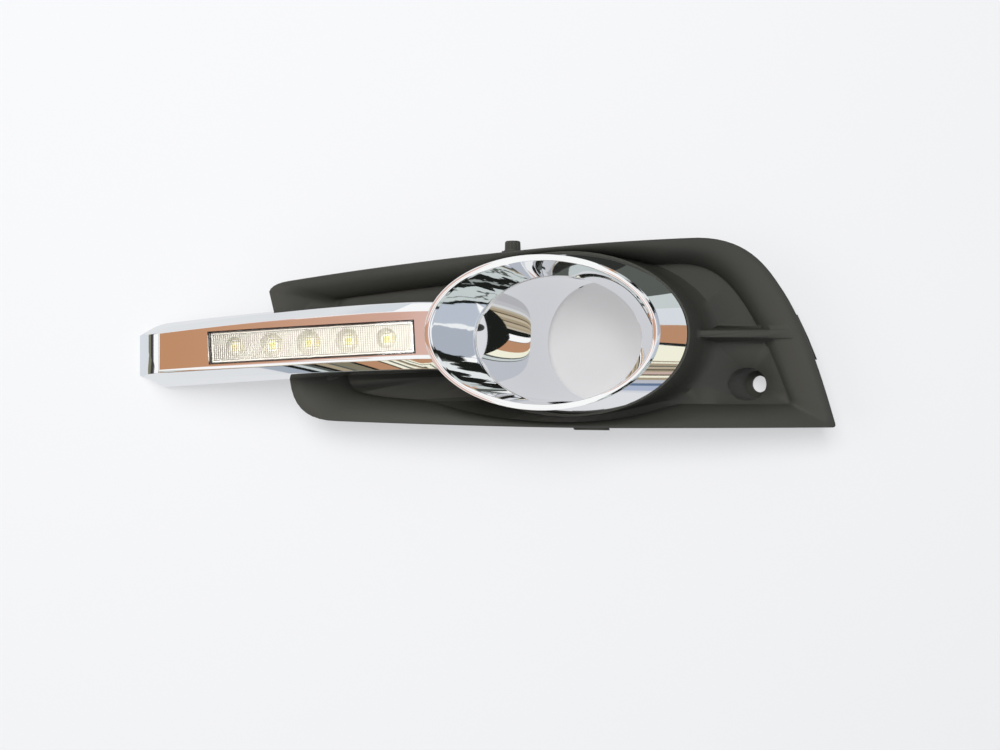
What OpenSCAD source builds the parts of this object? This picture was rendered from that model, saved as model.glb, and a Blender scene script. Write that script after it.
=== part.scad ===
// Daytime running light in a chrome arm, with the black bezel and oval lamp surround that carry it.
// Left hand side of the car. Millimetres. +Z is the way the lamp looks, X runs along the arm.
// The origin is the centre of the round lamp opening.

/* [Lamp opening] */
// Radius of the round opening for the lamp
opening_r = 44; // [42:0.5:45]
// Wall of the chrome tube round the opening
tube_wall = 2.4; // [2:0.1:2.8]
// Lean of the lamp axis to the left
lean = 32; // [28:1:34]
// Length of the tube behind the origin
tube_behind = 8; // [5:0.5:10]

/* [Oval surround] */
// Half length of the lip's outer edge
lip_a = 80.75; // [78:0.25:84]
// Half height of the lip's outer edge
lip_b = 53.5; // [52:0.25:55]
// Width of the bright lip at its two ends
lip_band = 5.6; // [4.8:0.1:6.2]
// Width of the bright lip at its top and bottom
lip_band_side = 4.4; // [4:0.1:4.6]
// Height of the lip above the opening's centre
lip_z = 61.4; // [58:0.2:64]
// Half length of the skirt at its base
skirt_a = 83; // [81:0.5:85]
// Half height of the skirt at its base
skirt_b = 57.5; // [56.5:0.25:58.5]
// Height of the skirt's base at its left end
skirt_z = 26; // [25:0.5:28]
// Rise of the skirt's base towards its right end
skirt_rise = 16; // [12:0.5:18]
// Depth of the skirt's hidden foot inside the collar
skirt_foot = 6; // [4:0.5:7]
// Wall of the plated moulding
plated_wall = 2.2; // [1.8:0.1:2.6]

/* [Arm] */
// Length of the arm's face from the oval to the raked end
arm_l = 192; // [180:1:200]
// Width of the arm's face where it meets the oval
arm_w = 32.2; // [31:0.2:34]
// Narrowing of the arm's face towards the raked end
arm_taper = 4; // [2:0.5:6]
// Sideways sweep of the arm's face towards the raked end
arm_sweep = 12.2; // [11:0.2:13]
// Height of the arm's face where it meets the oval
arm_z = 58; // [56:0.5:59]
// Fall of the arm's face towards the raked end
arm_drop = 38; // [34:0.5:42]
// Depth of the arm's walls where they meet the oval
arm_depth = 30.5; // [30:0.5:34]
// Depth of the arm's walls at the raked end
arm_end_depth = 46; // [42:0.5:48]
// Rake of the end wall, from the face to the back edge
arm_rake = 30; // [20:1:36]
// Thickness of the arm's face
arm_face_t = 2.2; // [2:0.1:2.4]

/* [Light window] */
// Face left between the oval and the clear lens
land_in = 7; // [6:0.5:10]
// Face left between the clear lens and the raked end
land_out = 38; // [36:0.5:44]
// Face left beside the clear lens, where the arm is widest
land_side = 5; // [4.8:0.1:6]
// How far the lens sits below the face's middle at its inner end
lens_low_in = 1.65; // [1:0.05:1.8]
// How far the lens sits below the face's middle at its outer end
lens_low_out = 0.1; // [0:0.05:0.6]
// Gap round the lens in its window
lens_gap = 0.5; // [0.3:0.1:0.8]
// Wider gap at the lens's inner end
lens_end_gap = 1.6; // [0.8:0.1:2]
// Depth of the lens below the arm's face
lens_recess = 1.3; // [0.6:0.1:1.6]
// Thickness of the lens
lens_t = 2.6; // [2.2:0.1:2.8]
// Thickness of the soft seals
seal_t = 0.9; // [0.7:0.1:1.1]
// Depth of the light board below the window's chord
board_drop = 8.2; // [8:0.1:8.8]
// Height of the heat sink's fins
sink_fin = 5; // [3:0.5:5.5]
// Wall of the back tub
tub_wall = 1.8; // [1.6:0.1:2]

/* [Bezel] */
// Wall of the black moulding
wall = 2.5; // [2.2:0.1:2.8]
// Height of the rim's crown at its highest
rim_z = 22; // [21:0.5:23]
// Fall of the rim's crown towards both ends
rim_drop = 18; // [16:0.5:20]
// Level of the recess floor
floor_z = -8; // [-9:0.5:-6]
// Depth of the return flange behind the rim
flange_h = 18; // [14:1:20]
// Width of the rib on the recess floor, at its top
rib_w = 4.4; // [3:0.2:6]
// Width of the rib's flared foot
rib_foot = 15.4; // [12:0.2:17]

/* [Screw pocket] */
// Radius of the body screw's hole
screw_hole_r = 6.25; // [5:0.25:6.5]
// Radius of the seat at the bottom of the pocket
pocket_seat_r = 9.8; // [9.4:0.1:10.4]
// Radius of the pocket at its mouth
pocket_mouth_r = 13; // [12:0.2:13.6]
// Wall round the pocket
pocket_wall = 2.4; // [2:0.1:2.8]

/* [Lamp fixing] */
// Distance from the lamp carrier's wall out to a lamp screw post's axis
lamp_post_out = 3.2; // [2.7:0.1:4.2]
// Radius of a lamp screw post
lamp_post_r = 4.5; // [4:0.1:5]
// Radius of the pilot hole in a lamp post
lamp_hole_r = 1.6; // [1.2:0.1:2]
// Radius of a small screw's shank
screw_r = 1.45; // [1.3:0.05:1.6]
// Radius of a small screw's head
screw_head_r = 2.9; // [2.6:0.1:3.2]

/* [Hidden] */
$fn = 48;
play = 0.1;
fit_gap = 0.3;
led_count = 5;
black = [0.16, 0.16, 0.15];
chrome = [0.8, 0.81, 0.82];

// General helpers

function mix(a, b, t) = a + (b - a) * t;
function clamp01(t) = min(1, max(0, t));
function unit(v) = v / norm(v);
function oval(c, a, b, t) = [c.x + a * cos(t), c.y + b * sin(t)];
function bend(p, t) = let (u = 1 - t)
    p[0] * u * u * u + p[1] * 3 * u * u * t + p[2] * 3 * u * t * t + p[3] * t * t * t;
// Distance from point o along direction d to an oval
function reach(o, d, c, a, b) = let (px = (o.x - c.x) / a, py = (o.y - c.y) / b,
    dx = d.x / a, dy = d.y / b, q = dx * dx + dy * dy, h = px * dx + py * dy)
    (-h + sqrt(h * h - q * (px * px + py * py - 1))) / q;

// Skin round a closed row of loops: every loop has m points, and the loops close on themselves
module ring_skin(loops) {
    n = len(loops);
    m = len(loops[0]);
    polyhedron(points = [for (l = loops, p = l) p],
        faces = [for (k = [0:n - 1], j = [0:m - 1])
            let (a = k * m + j, b = ((k + 1) % n) * m + j, c = ((k + 1) % n) * m + (j + 1) % m,
                d = k * m + (j + 1) % m)
            each [[a, b, c], [a, c, d]]], convexity = 8);
}

// Skin round a row of sections, closed at both ends
module loft_skin(sections) {
    n = len(sections);
    m = len(sections[0]);
    polyhedron(points = [for (l = sections, p = l) p],
        faces = concat([for (j = [1:m - 2]) [0, j + 1, j]],
            [for (j = [1:m - 2]) [(n - 1) * m, (n - 1) * m + j, (n - 1) * m + j + 1]],
            [for (k = [0:n - 2], j = [0:m - 1])
                let (a = k * m + j, b = a + m, c = (k + 1) * m + (j + 1) % m, d = k * m + (j + 1) % m)
                each [[a, c, b], [a, d, c]]]), convexity = 8);
}

// Outward normal of a surface given as rows of points, at row i and column k
function surface_normal(rows, i, k) = let (n = len(rows[0]), r = len(rows),
    along = rows[i][(k + 1) % n] - rows[i][(k + n - 1) % n],
    across = rows[min(r - 1, i + 1)][k] - rows[max(0, i - 1)][k])
    unit(cross(across, along));

module along_lamp() rotate([0, -lean, 0]) children();

// Oval surround: centres and sizes at each level

lip_c = [-lip_z * tan(lean) - 2.1, 4.7];
skirt_c = [-21.9, 4.5];
collar_gap = 0.3;
collar_edge = 1.5;
collar_c = skirt_c;
collar_a = skirt_a + collar_gap + collar_edge;
collar_b = skirt_b + collar_gap + 0.4;
foot_c = [-9, 3.6];
foot_a = 101.5;
foot_b = 63;

// Chrome trim

ring_n = 96;
mouth_left_z = 55;
mouth_right_z = 35.2;
tube_r = opening_r + tube_wall;
mouth_mid_z = (mouth_left_z + mouth_right_z) / 2;

// Point on a tube round the lamp axis where it meets the sloping mouth, sunk below it by a depth
function on_tube(r, t, sink) = let (u = r * cos(t), v = r * sin(t),
    k = (mouth_right_z - mouth_left_z) / (2 * opening_r), z = mouth_mid_z + k * u,
    w = (z - u * sin(lean)) / cos(lean) - sink)
    [u * cos(lean) - w * sin(lean), v, u * sin(lean) + w * cos(lean)];

// Point on the lip: share is 0 at its outer edge and 1 at its inner edge
function lip_at(share, z, t) = let (p = oval(lip_c, lip_a - share * lip_band,
    lip_b - share * lip_band_side, t)) [p.x, p.y, z];
under_lip = 0.8;
under_lip_z = lip_z - 2;
// Height of the sloping plane that the skirt's base and the collar's edge share
function base_z(x) = skirt_z + skirt_rise * (x - skirt_c.x + skirt_a) / (2 * skirt_a);
function skirt_at(g, inset, t) = let (a = mix(skirt_a, lip_a - under_lip, g) - inset,
        b = mix(skirt_b, lip_b - under_lip, g) - inset,
        c = mix(skirt_c, lip_c, g), p = oval(c, a, b, t))
    [p.x, p.y, mix(base_z(skirt_c.x + skirt_a * cos(t)) + collar_gap, under_lip_z, g)];

foot_inset = 1.6;
foot_wall = 1.8;

ring_front = [
    [for (k = [0:ring_n - 1]) on_tube(opening_r + 0.5, k * 360 / ring_n, 0.6)],
    for (f = [0.3, 0.7]) [for (k = [0:ring_n - 1]) let (t = k * 360 / ring_n)
        mix(on_tube(opening_r + 0.5, t, 0), lip_at(1, lip_z - 0.2, t), f)],
    [for (k = [0:ring_n - 1]) lip_at(1, lip_z - 0.2, k * 360 / ring_n)],
    [for (k = [0:ring_n - 1]) lip_at(0.55, lip_z + 0.6, k * 360 / ring_n)],
    [for (k = [0:ring_n - 1]) lip_at(0, lip_z - 0.3, k * 360 / ring_n)],
    for (g = [1, 0.66, 0.33, 0]) [for (k = [0:ring_n - 1]) skirt_at(g, 0, k * 360 / ring_n)],
    for (h = [0, skirt_foot]) [for (k = [0:ring_n - 1])
        skirt_at(0, foot_inset, k * 360 / ring_n) - [0, 0, h]]
];

function ring_loop(k) = let (t = k * 360 / ring_n)
    concat([for (r = ring_front) r[k]],
        [skirt_at(0, foot_inset + foot_wall, t) - [0, 0, skirt_foot],
            skirt_at(0, foot_inset + foot_wall, t), skirt_at(0.5, plated_wall + 0.2, t)],
        [for (i = [2, 1]) ring_front[i][k] - surface_normal(ring_front, i, k) * plated_wall],
        [on_tube(opening_r + tube_wall - 0.5, t, 3)]);

module ring_shell() ring_skin([for (k = [0:ring_n - 1]) ring_loop(k)]);

module tube_shell() {
    difference() {
        along_lamp() translate([0, 0, -tube_behind]) difference() {
            cylinder(r = tube_r, h = 120, $fn = 96);
            translate([0, 0, -1]) cylinder(r = opening_r, h = 122, $fn = 96);
        }
        mouth_above();
    }
}

// Everything above the sloping mouth of the tube
module mouth_above() {
    left = on_tube(opening_r, 180, 0);
    right = on_tube(opening_r, 0, 0);
    slope = atan2(right.z - left.z, right.x - left.x);
    translate(left) rotate([0, -slope, 0]) translate([-60, -80, 0]) cube([220, 160, 90]);
}

// Arm: plan and heights as functions of X

arm_x0 = -121;
arm_x1 = arm_x0 - arm_l;
arm_sunk = 3;
arm_start = arm_x0 - arm_sunk;
rake_run = 40;
rake_top = [5, 25];
rake_low = [8, 22];
face_mid_y = 3.7;
function arm_s(x) = max(0, (arm_x0 - x) / arm_l);
function arm_curve(s, p) = pow(max(0, s), p);
function face_z(x) = arm_z - arm_drop * pow(max(0, arm_start - x) / (arm_l - arm_sunk), 2);
function face_top(x) = face_mid_y + arm_w / 2 - (arm_sweep + arm_taper / 2) * arm_curve(arm_s(x), 1.4);
function face_low(x) = face_mid_y - arm_w / 2 - (arm_sweep - arm_taper / 2) * arm_curve(arm_s(x), 1.15);
function back_z(x) = max(rest_z, face_z(x) - mix(arm_depth, arm_end_depth, arm_s(x)));
function back_top(x) = face_top(x) + mix(6.9, 9.6, arm_s(x))
    - 7 * pow(clamp01((arm_x1 - rake_top[0] - x) / rake_top[1]), 2);
function back_low(x) = face_low(x) - mix(9.6, 10.4, arm_s(x))
    + 10 * clamp01((arm_x1 - rake_low[0] - x) / rake_low[1]);
function back_x(x) = x + 6 * max(0, 1 - (arm_start - x) / 8)
    - arm_rake * pow(clamp01((arm_x1 + rake_run - x) / rake_run), 2);
rest_z = -38;
arm_chamfer = 1.3;
arm_side_t = 2;

// X where a point at height z and place y sinks into the skirt's left side
function skirt_x(y, z) = let (g = (z - skirt_z) / (under_lip_z - skirt_z),
    a = mix(skirt_a, lip_a, g), b = mix(skirt_b, lip_b, g), c = mix(skirt_c, lip_c, g))
    c.x - a * sqrt(max(0, 1 - pow((y - c.y) / b, 2))) + 1.2;

// A point of the arm's section at face position x: h is 0 at the face and 1 at the back edge
function arm_point(x, h, face_y, back_y, drop) = let (zf = face_z(x), zb = back_z(back_x(x)),
    z = mix(zf, zb, h) - drop) [mix(x, back_x(x), h), mix(face_y, back_y, h), z];

// Foot of the wide bevel along the arm's lower side: it turns into the side wall towards the raked end
bevel_share = [[0.86, 0.28], [0.5, 0.45]];
function bevel_point(x, face_y, back_y) = let (f = mix(bevel_share[0], bevel_share[1], arm_s(x)),
    p = arm_point(x, f[1], face_y, back_y, 0)) [p.x, mix(face_y, back_y, f[0]), p.z];

function arm_outer(x) = let (t = face_top(x), l = face_low(x), bt = back_top(back_x(x)),
    bl = back_low(back_x(x)), c = arm_chamfer)
    [arm_point(x, 1, t, bt, 0), arm_point(x, 0.05, t + 0.4, bt, 0), arm_point(x, 0, t - c, bt, 0),
        arm_point(x, 0, l + c, bl, 0), arm_point(x, 0.03, l - 0.4, bl, 0), bevel_point(x, l, bl),
        arm_point(x, 1, l, bl, 0)];

function arm_inner(x) = let (t = face_top(x) - arm_side_t, l = face_low(x) + arm_side_t,
    bt = back_top(back_x(x)) - arm_side_t, bl = back_low(back_x(x)) + arm_side_t)
    [arm_point(x, 1.25, t, bt, 0), arm_point(x, 0, t, bt, arm_face_t),
        arm_point(x, 0, l, bl, arm_face_t), bevel_point(x, l, bl), arm_point(x, 1.25, l, bl, 0)];

arm_steps = 24;
function arm_station(i, from, to) = mix(from, to, i / arm_steps);

module arm_solid() {
    first = arm_outer(arm_start);
    loft_skin(concat([[for (p = first) [skirt_x(p.y, p.z), p.y, p.z]]],
        [for (i = [0:arm_steps]) arm_outer(arm_station(i, arm_start, arm_x1))]));
}

module arm_hollow() {
    first = arm_inner(arm_start);
    loft_skin(concat([[for (p = first) [skirt_x(p.y, p.z) + 3, p.y, p.z]]],
        [for (i = [0:arm_steps]) arm_inner(arm_station(i, arm_start, arm_x1 + 2.8))]));
}

// Light module: its own frame lies along the chord of the window

lens_l = arm_l - land_in - land_out;
lens_w = arm_w - 2 * land_side;
lens_end_x = [arm_x1 + land_out, arm_x0 - land_in];
lens_x = (lens_end_x[0] + lens_end_x[1]) / 2;
function face_middle(x) = (face_top(x) + face_low(x)) / 2;
lens_end_y = [face_middle(lens_end_x[0]) - lens_low_out, face_middle(lens_end_x[1]) - lens_low_in];
lens_mid_y = (lens_end_y[0] + lens_end_y[1]) / 2;
window_turn = atan2(lens_end_y[1] - lens_end_y[0], lens_l);
window_tilt = atan2(face_z(lens_end_x[1]) - face_z(lens_end_x[0]), lens_l);
window_mid_z = (face_z(lens_end_x[0]) + face_z(lens_end_x[1])) / 2;
window_sag = face_z(lens_x) - window_mid_z;
window_half = lens_l / 2 / cos(window_tilt);
face_r = (window_half * window_half + window_sag * window_sag) / (2 * window_sag);

module in_window() translate([lens_x, lens_mid_y, window_mid_z]) rotate([0, 0, window_turn])
    rotate([0, -window_tilt, 0]) children();

// Plate that follows the arm's curved face, between two depths below it
module face_layer(d0, d1, l, w, shift = 0) {
    intersection() {
        translate([-l / 2 + shift, -w / 2, -40]) cube([l, w, 60]);
        translate([0, w, window_sag - face_r]) rotate([90, 0, 0]) difference() {
            cylinder(r = face_r - d0, h = 2 * w, $fn = 720);
            translate([0, 0, -1]) cylinder(r = face_r - d1, h = 2 * w + 2, $fn = 720);
        }
    }
}

flange_out = 1.2;
flange_t = 1.8;
seal_top = arm_face_t + fit_gap;
flange_top = seal_top + seal_t + play;
flange_low = flange_top + flange_t;
tub_seal_low = flange_low + play + seal_t;
tub_top = tub_seal_low + play;
tub_l = lens_l + 2 * flange_out;
tub_w = lens_w + 2 * flange_out;
board_top = -board_drop;
board_t = 1.6;
board_end_gap = 1.4;
board_side_gap = 2;
board_l = tub_l - 2 * tub_wall - 2 * board_end_gap;
board_w = tub_w - 2 * tub_wall - 2 * board_side_gap;
sink_top = board_top - board_t - play;
sink_base = 2;
board_screw_x = board_l / 2 - 3;
ear_ends = [-tub_l / 2 - 19.3, tub_l / 2 + 10.3];
ear_half = 10.5;
housing_screw_at = [for (p = [[ear_ends[0] + 7, 7], [ear_ends[1] - 3.8, 6.5]], s = [1, -1]) [p.x, s * p.y]];
ear_top = -12;
ear_t = 2;
arm_boss_r = 3.2;

module window_cut() in_window()
    translate([-lens_l / 2 - lens_gap, -lens_w / 2 - lens_gap, -12])
        cube([lens_l + lens_gap + lens_end_gap, lens_w + 2 * lens_gap, 30]);

module arm_bosses() in_window() for (p = housing_screw_at)
    let (top = window_sag - (face_r - sqrt(face_r * face_r - p.x * p.x)) - arm_face_t / 2)
    translate([p.x, p.y, ear_top + play]) difference() {
        cylinder(r = arm_boss_r, h = top - ear_top - play);
        translate([0, 0, -1]) cylinder(r = screw_r + 0.05, h = 8);
    }

// Posts that take the trim screws, standing on the bezel's web
web_low = 15;
web_t = 2.5;
web_top = web_low + web_t;
trim_post_r = 3.2;
trim_screw_l = 14;
trim_posts = [[-88, 24, 55], [-88, -15, 55], [46, 25, 45.6], [47.6, -16, 44.4]];

module trim_post_set() for (p = trim_posts)
    translate([p.x, p.y, web_top + play]) difference() {
        cylinder(r = trim_post_r, h = p.z - web_top - play);
        translate([0, 0, -1]) cylinder(r = screw_r + 0.05, h = trim_screw_l);
    }

module chrome_trim() {
    color(chrome) union() {
        ring_shell();
        tube_shell();
        difference() {
            arm_solid();
            arm_hollow();
            window_cut();
        }
        arm_bosses();
        trim_post_set();
    }
}

module drl_lens() {
    color([0.92, 0.94, 0.95, 0.5]) in_window() difference() {
        union() {
            face_layer(flange_top, flange_low, tub_l, tub_w);
            face_layer(lens_recess, flange_low, lens_l, lens_w);
        }
        face_layer(lens_recess + lens_t, 12, lens_l - 4, lens_w - 4);
    }
}

module lens_gasket() {
    color([0.08, 0.08, 0.08]) in_window() difference() {
        face_layer(seal_top, seal_top + seal_t, tub_l, tub_w);
        face_layer(0, 12, lens_l + 2 * play, lens_w + 2 * play);
    }
}

tray_l = tub_l - 2 * tub_wall - 2 * fit_gap;
tray_w = tub_w - 2 * tub_wall - 2 * fit_gap;
screw_head_h = 2.1;
led_pitch = (lens_l - 10) / led_count;
cup_foot_r = 3.6;
cup_r = tray_w / 2;
module reflector_tray() {
    color([0.9, 0.9, 0.88]) in_window() difference() {
        intersection() {
            translate([-tray_l / 2, -tray_w / 2, board_top + play]) cube([tray_l, tray_w, 20]);
            face_layer(flange_low + fit_gap, 30, tray_l + 4, tray_w + 4);
        }
        for (s = [-1, 1]) translate([s * board_screw_x, 0, board_top - 1])
            cylinder(r = screw_head_r + fit_gap, h = 1 + screw_head_h + fit_gap);
        for (i = [0:led_count - 1]) translate([(i - 2) * led_pitch, 0, board_top - 1])
            cylinder(r1 = cup_foot_r, r2 = cup_r, h = 12);
    }
}

module led_board() {
    color([0.86, 0.88, 0.86]) in_window() difference() {
        translate([-board_l / 2, -board_w / 2, board_top - board_t]) cube([board_l, board_w, board_t]);
        for (s = [-1, 1]) translate([s * board_screw_x, 0, board_top - 5]) cylinder(r = screw_r + 0.3, h = 8);
    }
}

module led(i) {
    color([0.95, 0.85, 0.35]) in_window() translate([(i - 3) * led_pitch, 0, board_top + 0.02]) {
        translate([-2.3, -2.3, 0]) cube([4.6, 4.6, 1.1]);
        intersection() {
            translate([0, 0, 0.6]) sphere(r = 2.1, $fn = 32);
            cylinder(r = 2.2, h = 4);
        }
    }
}

fin_l = 2 * (board_screw_x - 8.5);
fin_t = 1.2;
fin_count = 5;
module heat_sink() {
    color([0.75, 0.76, 0.78]) in_window() difference() {
        union() {
            translate([-board_l / 2, -board_w / 2, sink_top - sink_base]) cube([board_l, board_w, sink_base]);
            for (i = [0:fin_count - 1]) translate([-fin_l / 2, -board_w / 2 + i * (board_w - fin_t)
                / (fin_count - 1), sink_top - sink_base - sink_fin]) cube([fin_l, fin_t, sink_fin + 0.5]);
        }
        for (s = [-1, 1]) translate([s * board_screw_x, 0, sink_top - 9]) cylinder(r = screw_r + 0.3, h = 12);
    }
}

driver_room = 3.9;
driver_top = sink_top - sink_base - sink_fin - driver_room;
driver_rise = 3.4;
tub_floor = driver_top - driver_rise;
tub_depth = tub_wall - tub_floor;
driver_l = 64;
driver_w = board_w - 1;
driver_foot_x = driver_l / 2 - 8;
driver_foot_w = 4;
tub_post_r = 3.2;
gland_x = mix(driver_l / 2, board_screw_x - tub_post_r, 0.6);
vent_x = -gland_x;
gland_r = 4.2;
vent_stem_r = 2.4;

module rear_housing() {
    color(black) in_window() {
        difference() {
            union() {
                intersection() {
                    translate([-tub_l / 2, -tub_w / 2, -tub_depth]) cube([tub_l, tub_w, tub_depth + 20]);
                    face_layer(tub_top, 60, tub_l + 4, tub_w + 4);
                }
                for (p = [[ear_ends[0], -tub_l / 2 + 1], [tub_l / 2 - 1, ear_ends[1]]])
                    translate([p[0], -ear_half, ear_top - ear_t]) cube([p[1] - p[0], 2 * ear_half, ear_t]);
            }
            translate([-tub_l / 2 + tub_wall, -tub_w / 2 + tub_wall, tub_floor])
                cube([tub_l - 2 * tub_wall, tub_w - 2 * tub_wall, 60]);
            for (p = housing_screw_at) translate([p.x, p.y, ear_top - 5])
                cylinder(r = screw_r + 0.35, h = 10);
            translate([gland_x, 0, -tub_depth - 1]) cylinder(r = gland_r + play, h = 6);
            translate([vent_x, 0, -tub_depth - 1]) cylinder(r = vent_stem_r + play, h = 6);
        }
        for (s = [-1, 1]) translate([s * board_screw_x, 0, tub_floor - 0.5]) difference() {
            cylinder(r = tub_post_r, h = sink_top - sink_base - play - tub_floor + 0.5);
            translate([0, 0, 3]) cylinder(r = screw_r + 0.05, h = 20);
        }
        for (s = [-1, 1]) translate([s * driver_foot_x - driver_foot_w / 2, -tub_w / 2 + tub_wall - 0.5,
            tub_floor - 0.5])
                cube([driver_foot_w, tub_w - 2 * tub_wall + 1, driver_rise - board_t + 0.5 - play]);
    }
}

module housing_gasket() {
    color([0.08, 0.08, 0.08]) in_window() difference() {
        face_layer(flange_low + play, tub_seal_low, tub_l, tub_w);
        translate([-tub_l / 2 + tub_wall, -tub_w / 2 + tub_wall, -20])
            cube([tub_l - 2 * tub_wall, tub_w - 2 * tub_wall, 40]);
    }
}

module driver_board() {
    color([0.1, 0.3, 0.18]) in_window() translate([-driver_l / 2, -driver_w / 2, driver_top - board_t])
        cube([driver_l, driver_w, board_t]);
}

module driver_chip() {
    color([0.1, 0.1, 0.1]) in_window() translate([-12, -2.5, driver_top + 0.02]) cube([6, 5, 1.6]);
}

module driver_coil() {
    color([0.3, 0.28, 0.26]) in_window() translate([4, 0, driver_top + 0.02]) difference() {
        cylinder(r = 4, h = 2.6);
        translate([0, 0, 1.8]) cylinder(r = 2.4, h = 2);
    }
}

module wire_header() {
    color([0.9, 0.88, 0.8]) in_window() translate([driver_l / 2 - 10, -4.5, driver_top + 0.02]) difference() {
        cube([7, 9, 2.8]);
        for (y = [0.9, 5]) translate([1.2, y, 0.7]) cube([7, 3.1, 1.5]);
    }
}

module cable_gland() {
    color([0.06, 0.06, 0.06]) in_window() translate([gland_x, 0, 0]) rotate_extrude()
        polygon([[2.2, -tub_depth - 5], [3.6, -tub_depth - 5], [5.2, -tub_depth - play],
            [gland_r, -tub_depth - play], [gland_r, tub_floor + play], [5.4, tub_floor + play],
            [5.2, tub_floor + 1.4], [2.2, tub_floor + 1.4]]);
}

module breather_vent() {
    color([0.2, 0.2, 0.2]) in_window() translate([vent_x, 0, 0]) rotate_extrude()
        polygon([[0, -tub_depth - 2.2], [3.6, -tub_depth - 2.2], [4.4, -tub_depth - 1.4],
            [4.4, -tub_depth - play], [vent_stem_r, -tub_depth - play],
            [vent_stem_r, tub_floor + play], [3, tub_floor + play], [2.6, tub_floor + 1.6],
            [0, tub_floor + 1.6]]);
}

// Pan head screw with a cross recess: head up, shank down, seat at the origin
module screw(l) {
    color([0.7, 0.7, 0.68]) difference() {
        union() {
            translate([0, 0, -l]) cylinder(r = screw_r, h = l + 0.5);
            rotate_extrude() polygon([[0, 0], [screw_head_r, 0], [screw_head_r, 1],
                [screw_head_r - 0.8, screw_head_h - 0.2], [0, screw_head_h]]);
        }
        for (a = [0, 90]) rotate([0, 0, a]) translate([-1.6, -0.35, 1.1]) cube([3.2, 0.7, 2]);
    }
}

module board_screw(i) in_window() translate([(i == 1 ? -1 : 1) * board_screw_x, 0, board_top + 0.02])
    screw(11);

module housing_screw(i) in_window() translate([housing_screw_at[i - 1].x, housing_screw_at[i - 1].y,
    ear_top - ear_t - 0.02]) rotate([180, 0, 0]) screw(8);

module trim_screw(i) translate([trim_posts[i - 1].x, trim_posts[i - 1].y, web_low - 0.02])
    rotate([180, 0, 0]) screw(trim_screw_l);

// Bezel: two outlines with the same stretches, the rim's crown and the edge of the recess floor.
// Each stretch is a curve with its end points and two handles, and its number of steps.

rim_curves = [
    [[173.5, -59.5], [166, -35], [152, 12], [131, 40.5]],
    [[131, 40.5], [119, 58], [104, 73.5], [72, 73.3]],
    [[72, 73.3], [20, 71], [-110, 60], [-222, 43.5]],
    [[-222, 43.5], [-229, 42.5], [-235, 40], [-236, 36]],
    [[-236, 36], [-231, 15], [-225, -8], [-220.5, -28]],
    [[-220.5, -28], [-218, -48], [-208, -57], [-185, -57.3]],
    [[-185, -57.3], [-70, -61], [50, -61.8], [171, -62.2]],
    [[171, -62.2], [173, -62.2], [174, -61.5], [173.5, -59.5]]];
floor_curves = [
    [[143.5, -43.5], [137, -28], [123, 14], [103, 38]],
    [[103, 38], [93, 50], [82, 57.5], [62, 57.5]],
    [[62, 57.5], [20, 56], [-100, 44], [-186, 31.5]],
    [[-186, 31.5], [-189, 31], [-190, 30], [-190, 27]],
    [[-190, 27], [-188, 12], [-184, -8], [-181, -24]],
    [[-181, -24], [-180.5, -31], [-178, -36], [-165, -38.5]],
    [[-165, -38.5], [-130, -46.5], [20, -45.7], [140, -45.7]],
    [[140, -45.7], [142, -45.7], [143.5, -45.5], [143.5, -43.5]]];
curve_steps = [17, 13, 26, 5, 6, 9, 24, 4];
// Roundness of the outer wall on each stretch, at its start and end: 2 is round and 1 is a ramp
curve_round = [[2, 2], [2, 2], [2, 2], [2, 1.1], [1.1, 1.1], [1.1, 2], [2, 2], [2, 2]];
function outline(curves) = [for (i = [0:len(curves) - 1], j = [0:curve_steps[i] - 1])
    bend(curves[i], j / curve_steps[i])];
rim = outline(rim_curves);
floor_edge = outline(floor_curves);
roundness = [for (i = [0:7], j = [0:curve_steps[i] - 1])
    mix(curve_round[i][0], curve_round[i][1], j / curve_steps[i])];
centre = [-15, 4];
function crown_z(x) = rim_z - rim_drop * pow((x + 31) / 204, 2);

// One column of the bezel's front, from the collar's top edge out to the foot of the return flange
collar_rows = [0, 0.1, 0.25, 0.5, 0.75, 1];
function collar_fall(f) = 1 - pow(1 - f, 1.8);
wall_steps = 7;
function column(k) = let (e = rim[k], d0 = floor_edge[k], dir = unit(e - centre),
    a = centre + dir * reach(centre, dir, collar_c, collar_a, collar_b),
    b0 = centre + dir * reach(centre, dir, foot_c, foot_a, foot_b),
    room = norm(e - a), need = norm(b0 - a) + norm(e - d0) + 0.8,
    s = min(1, room / need), ez = crown_z(e.x),
    top = base_z(a.x), v = mix(min(top, ez) - 1, floor_z, s),
    b = a + (b0 - a) * s, d = e + (d0 - e) * s, p = roundness[k])
    concat([for (f = collar_rows) let (q = mix(a, b, f)) [q.x, q.y, mix(top, v, collar_fall(f))]],
        [for (j = [0:wall_steps]) let (u = cos(90 * j / wall_steps), q = mix(e, d, u),
            h = 1 - pow(max(0, 1 - pow(u, p)), 1 / p)) [q.x, q.y, mix(ez, v, h)]],
        [let (q = e + dir * 1.2) [q.x, q.y, ez - 1]],
        [let (q = e + dir * 1.8) [q.x, q.y, ez - flange_h]]);

cols = [for (k = [0:len(rim) - 1]) column(k)];
bezel_rows = [for (i = [0:len(cols[0]) - 1]) [for (c = cols) c[i]]];
function wall_at(k) = let (room = norm([cols[k][0].x, cols[k][0].y] - rim[k]))
    min(wall, max(1, 0.25 * room));

function bezel_loop(k) = let (c = cols[k], m = len(c) - 1, t = wall_at(k), dir = unit(rim[k] - centre),
    out = [dir.x, dir.y, 0])
    concat(c, [c[m] - out * t * 0.9],
        [c[m - 1] - out * (t + 0.6) - [0, 0, t]],
        [for (i = [m - 2:-1:1]) let (w = i == 1 ? min(t, collar_edge) : t)
            c[i] - surface_normal(bezel_rows, i, k) * w],
        [c[0] - out * min(t, collar_edge)]);

module bezel_shell() ring_skin([for (k = [0:len(rim) - 1]) bezel_loop(k)]);

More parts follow.
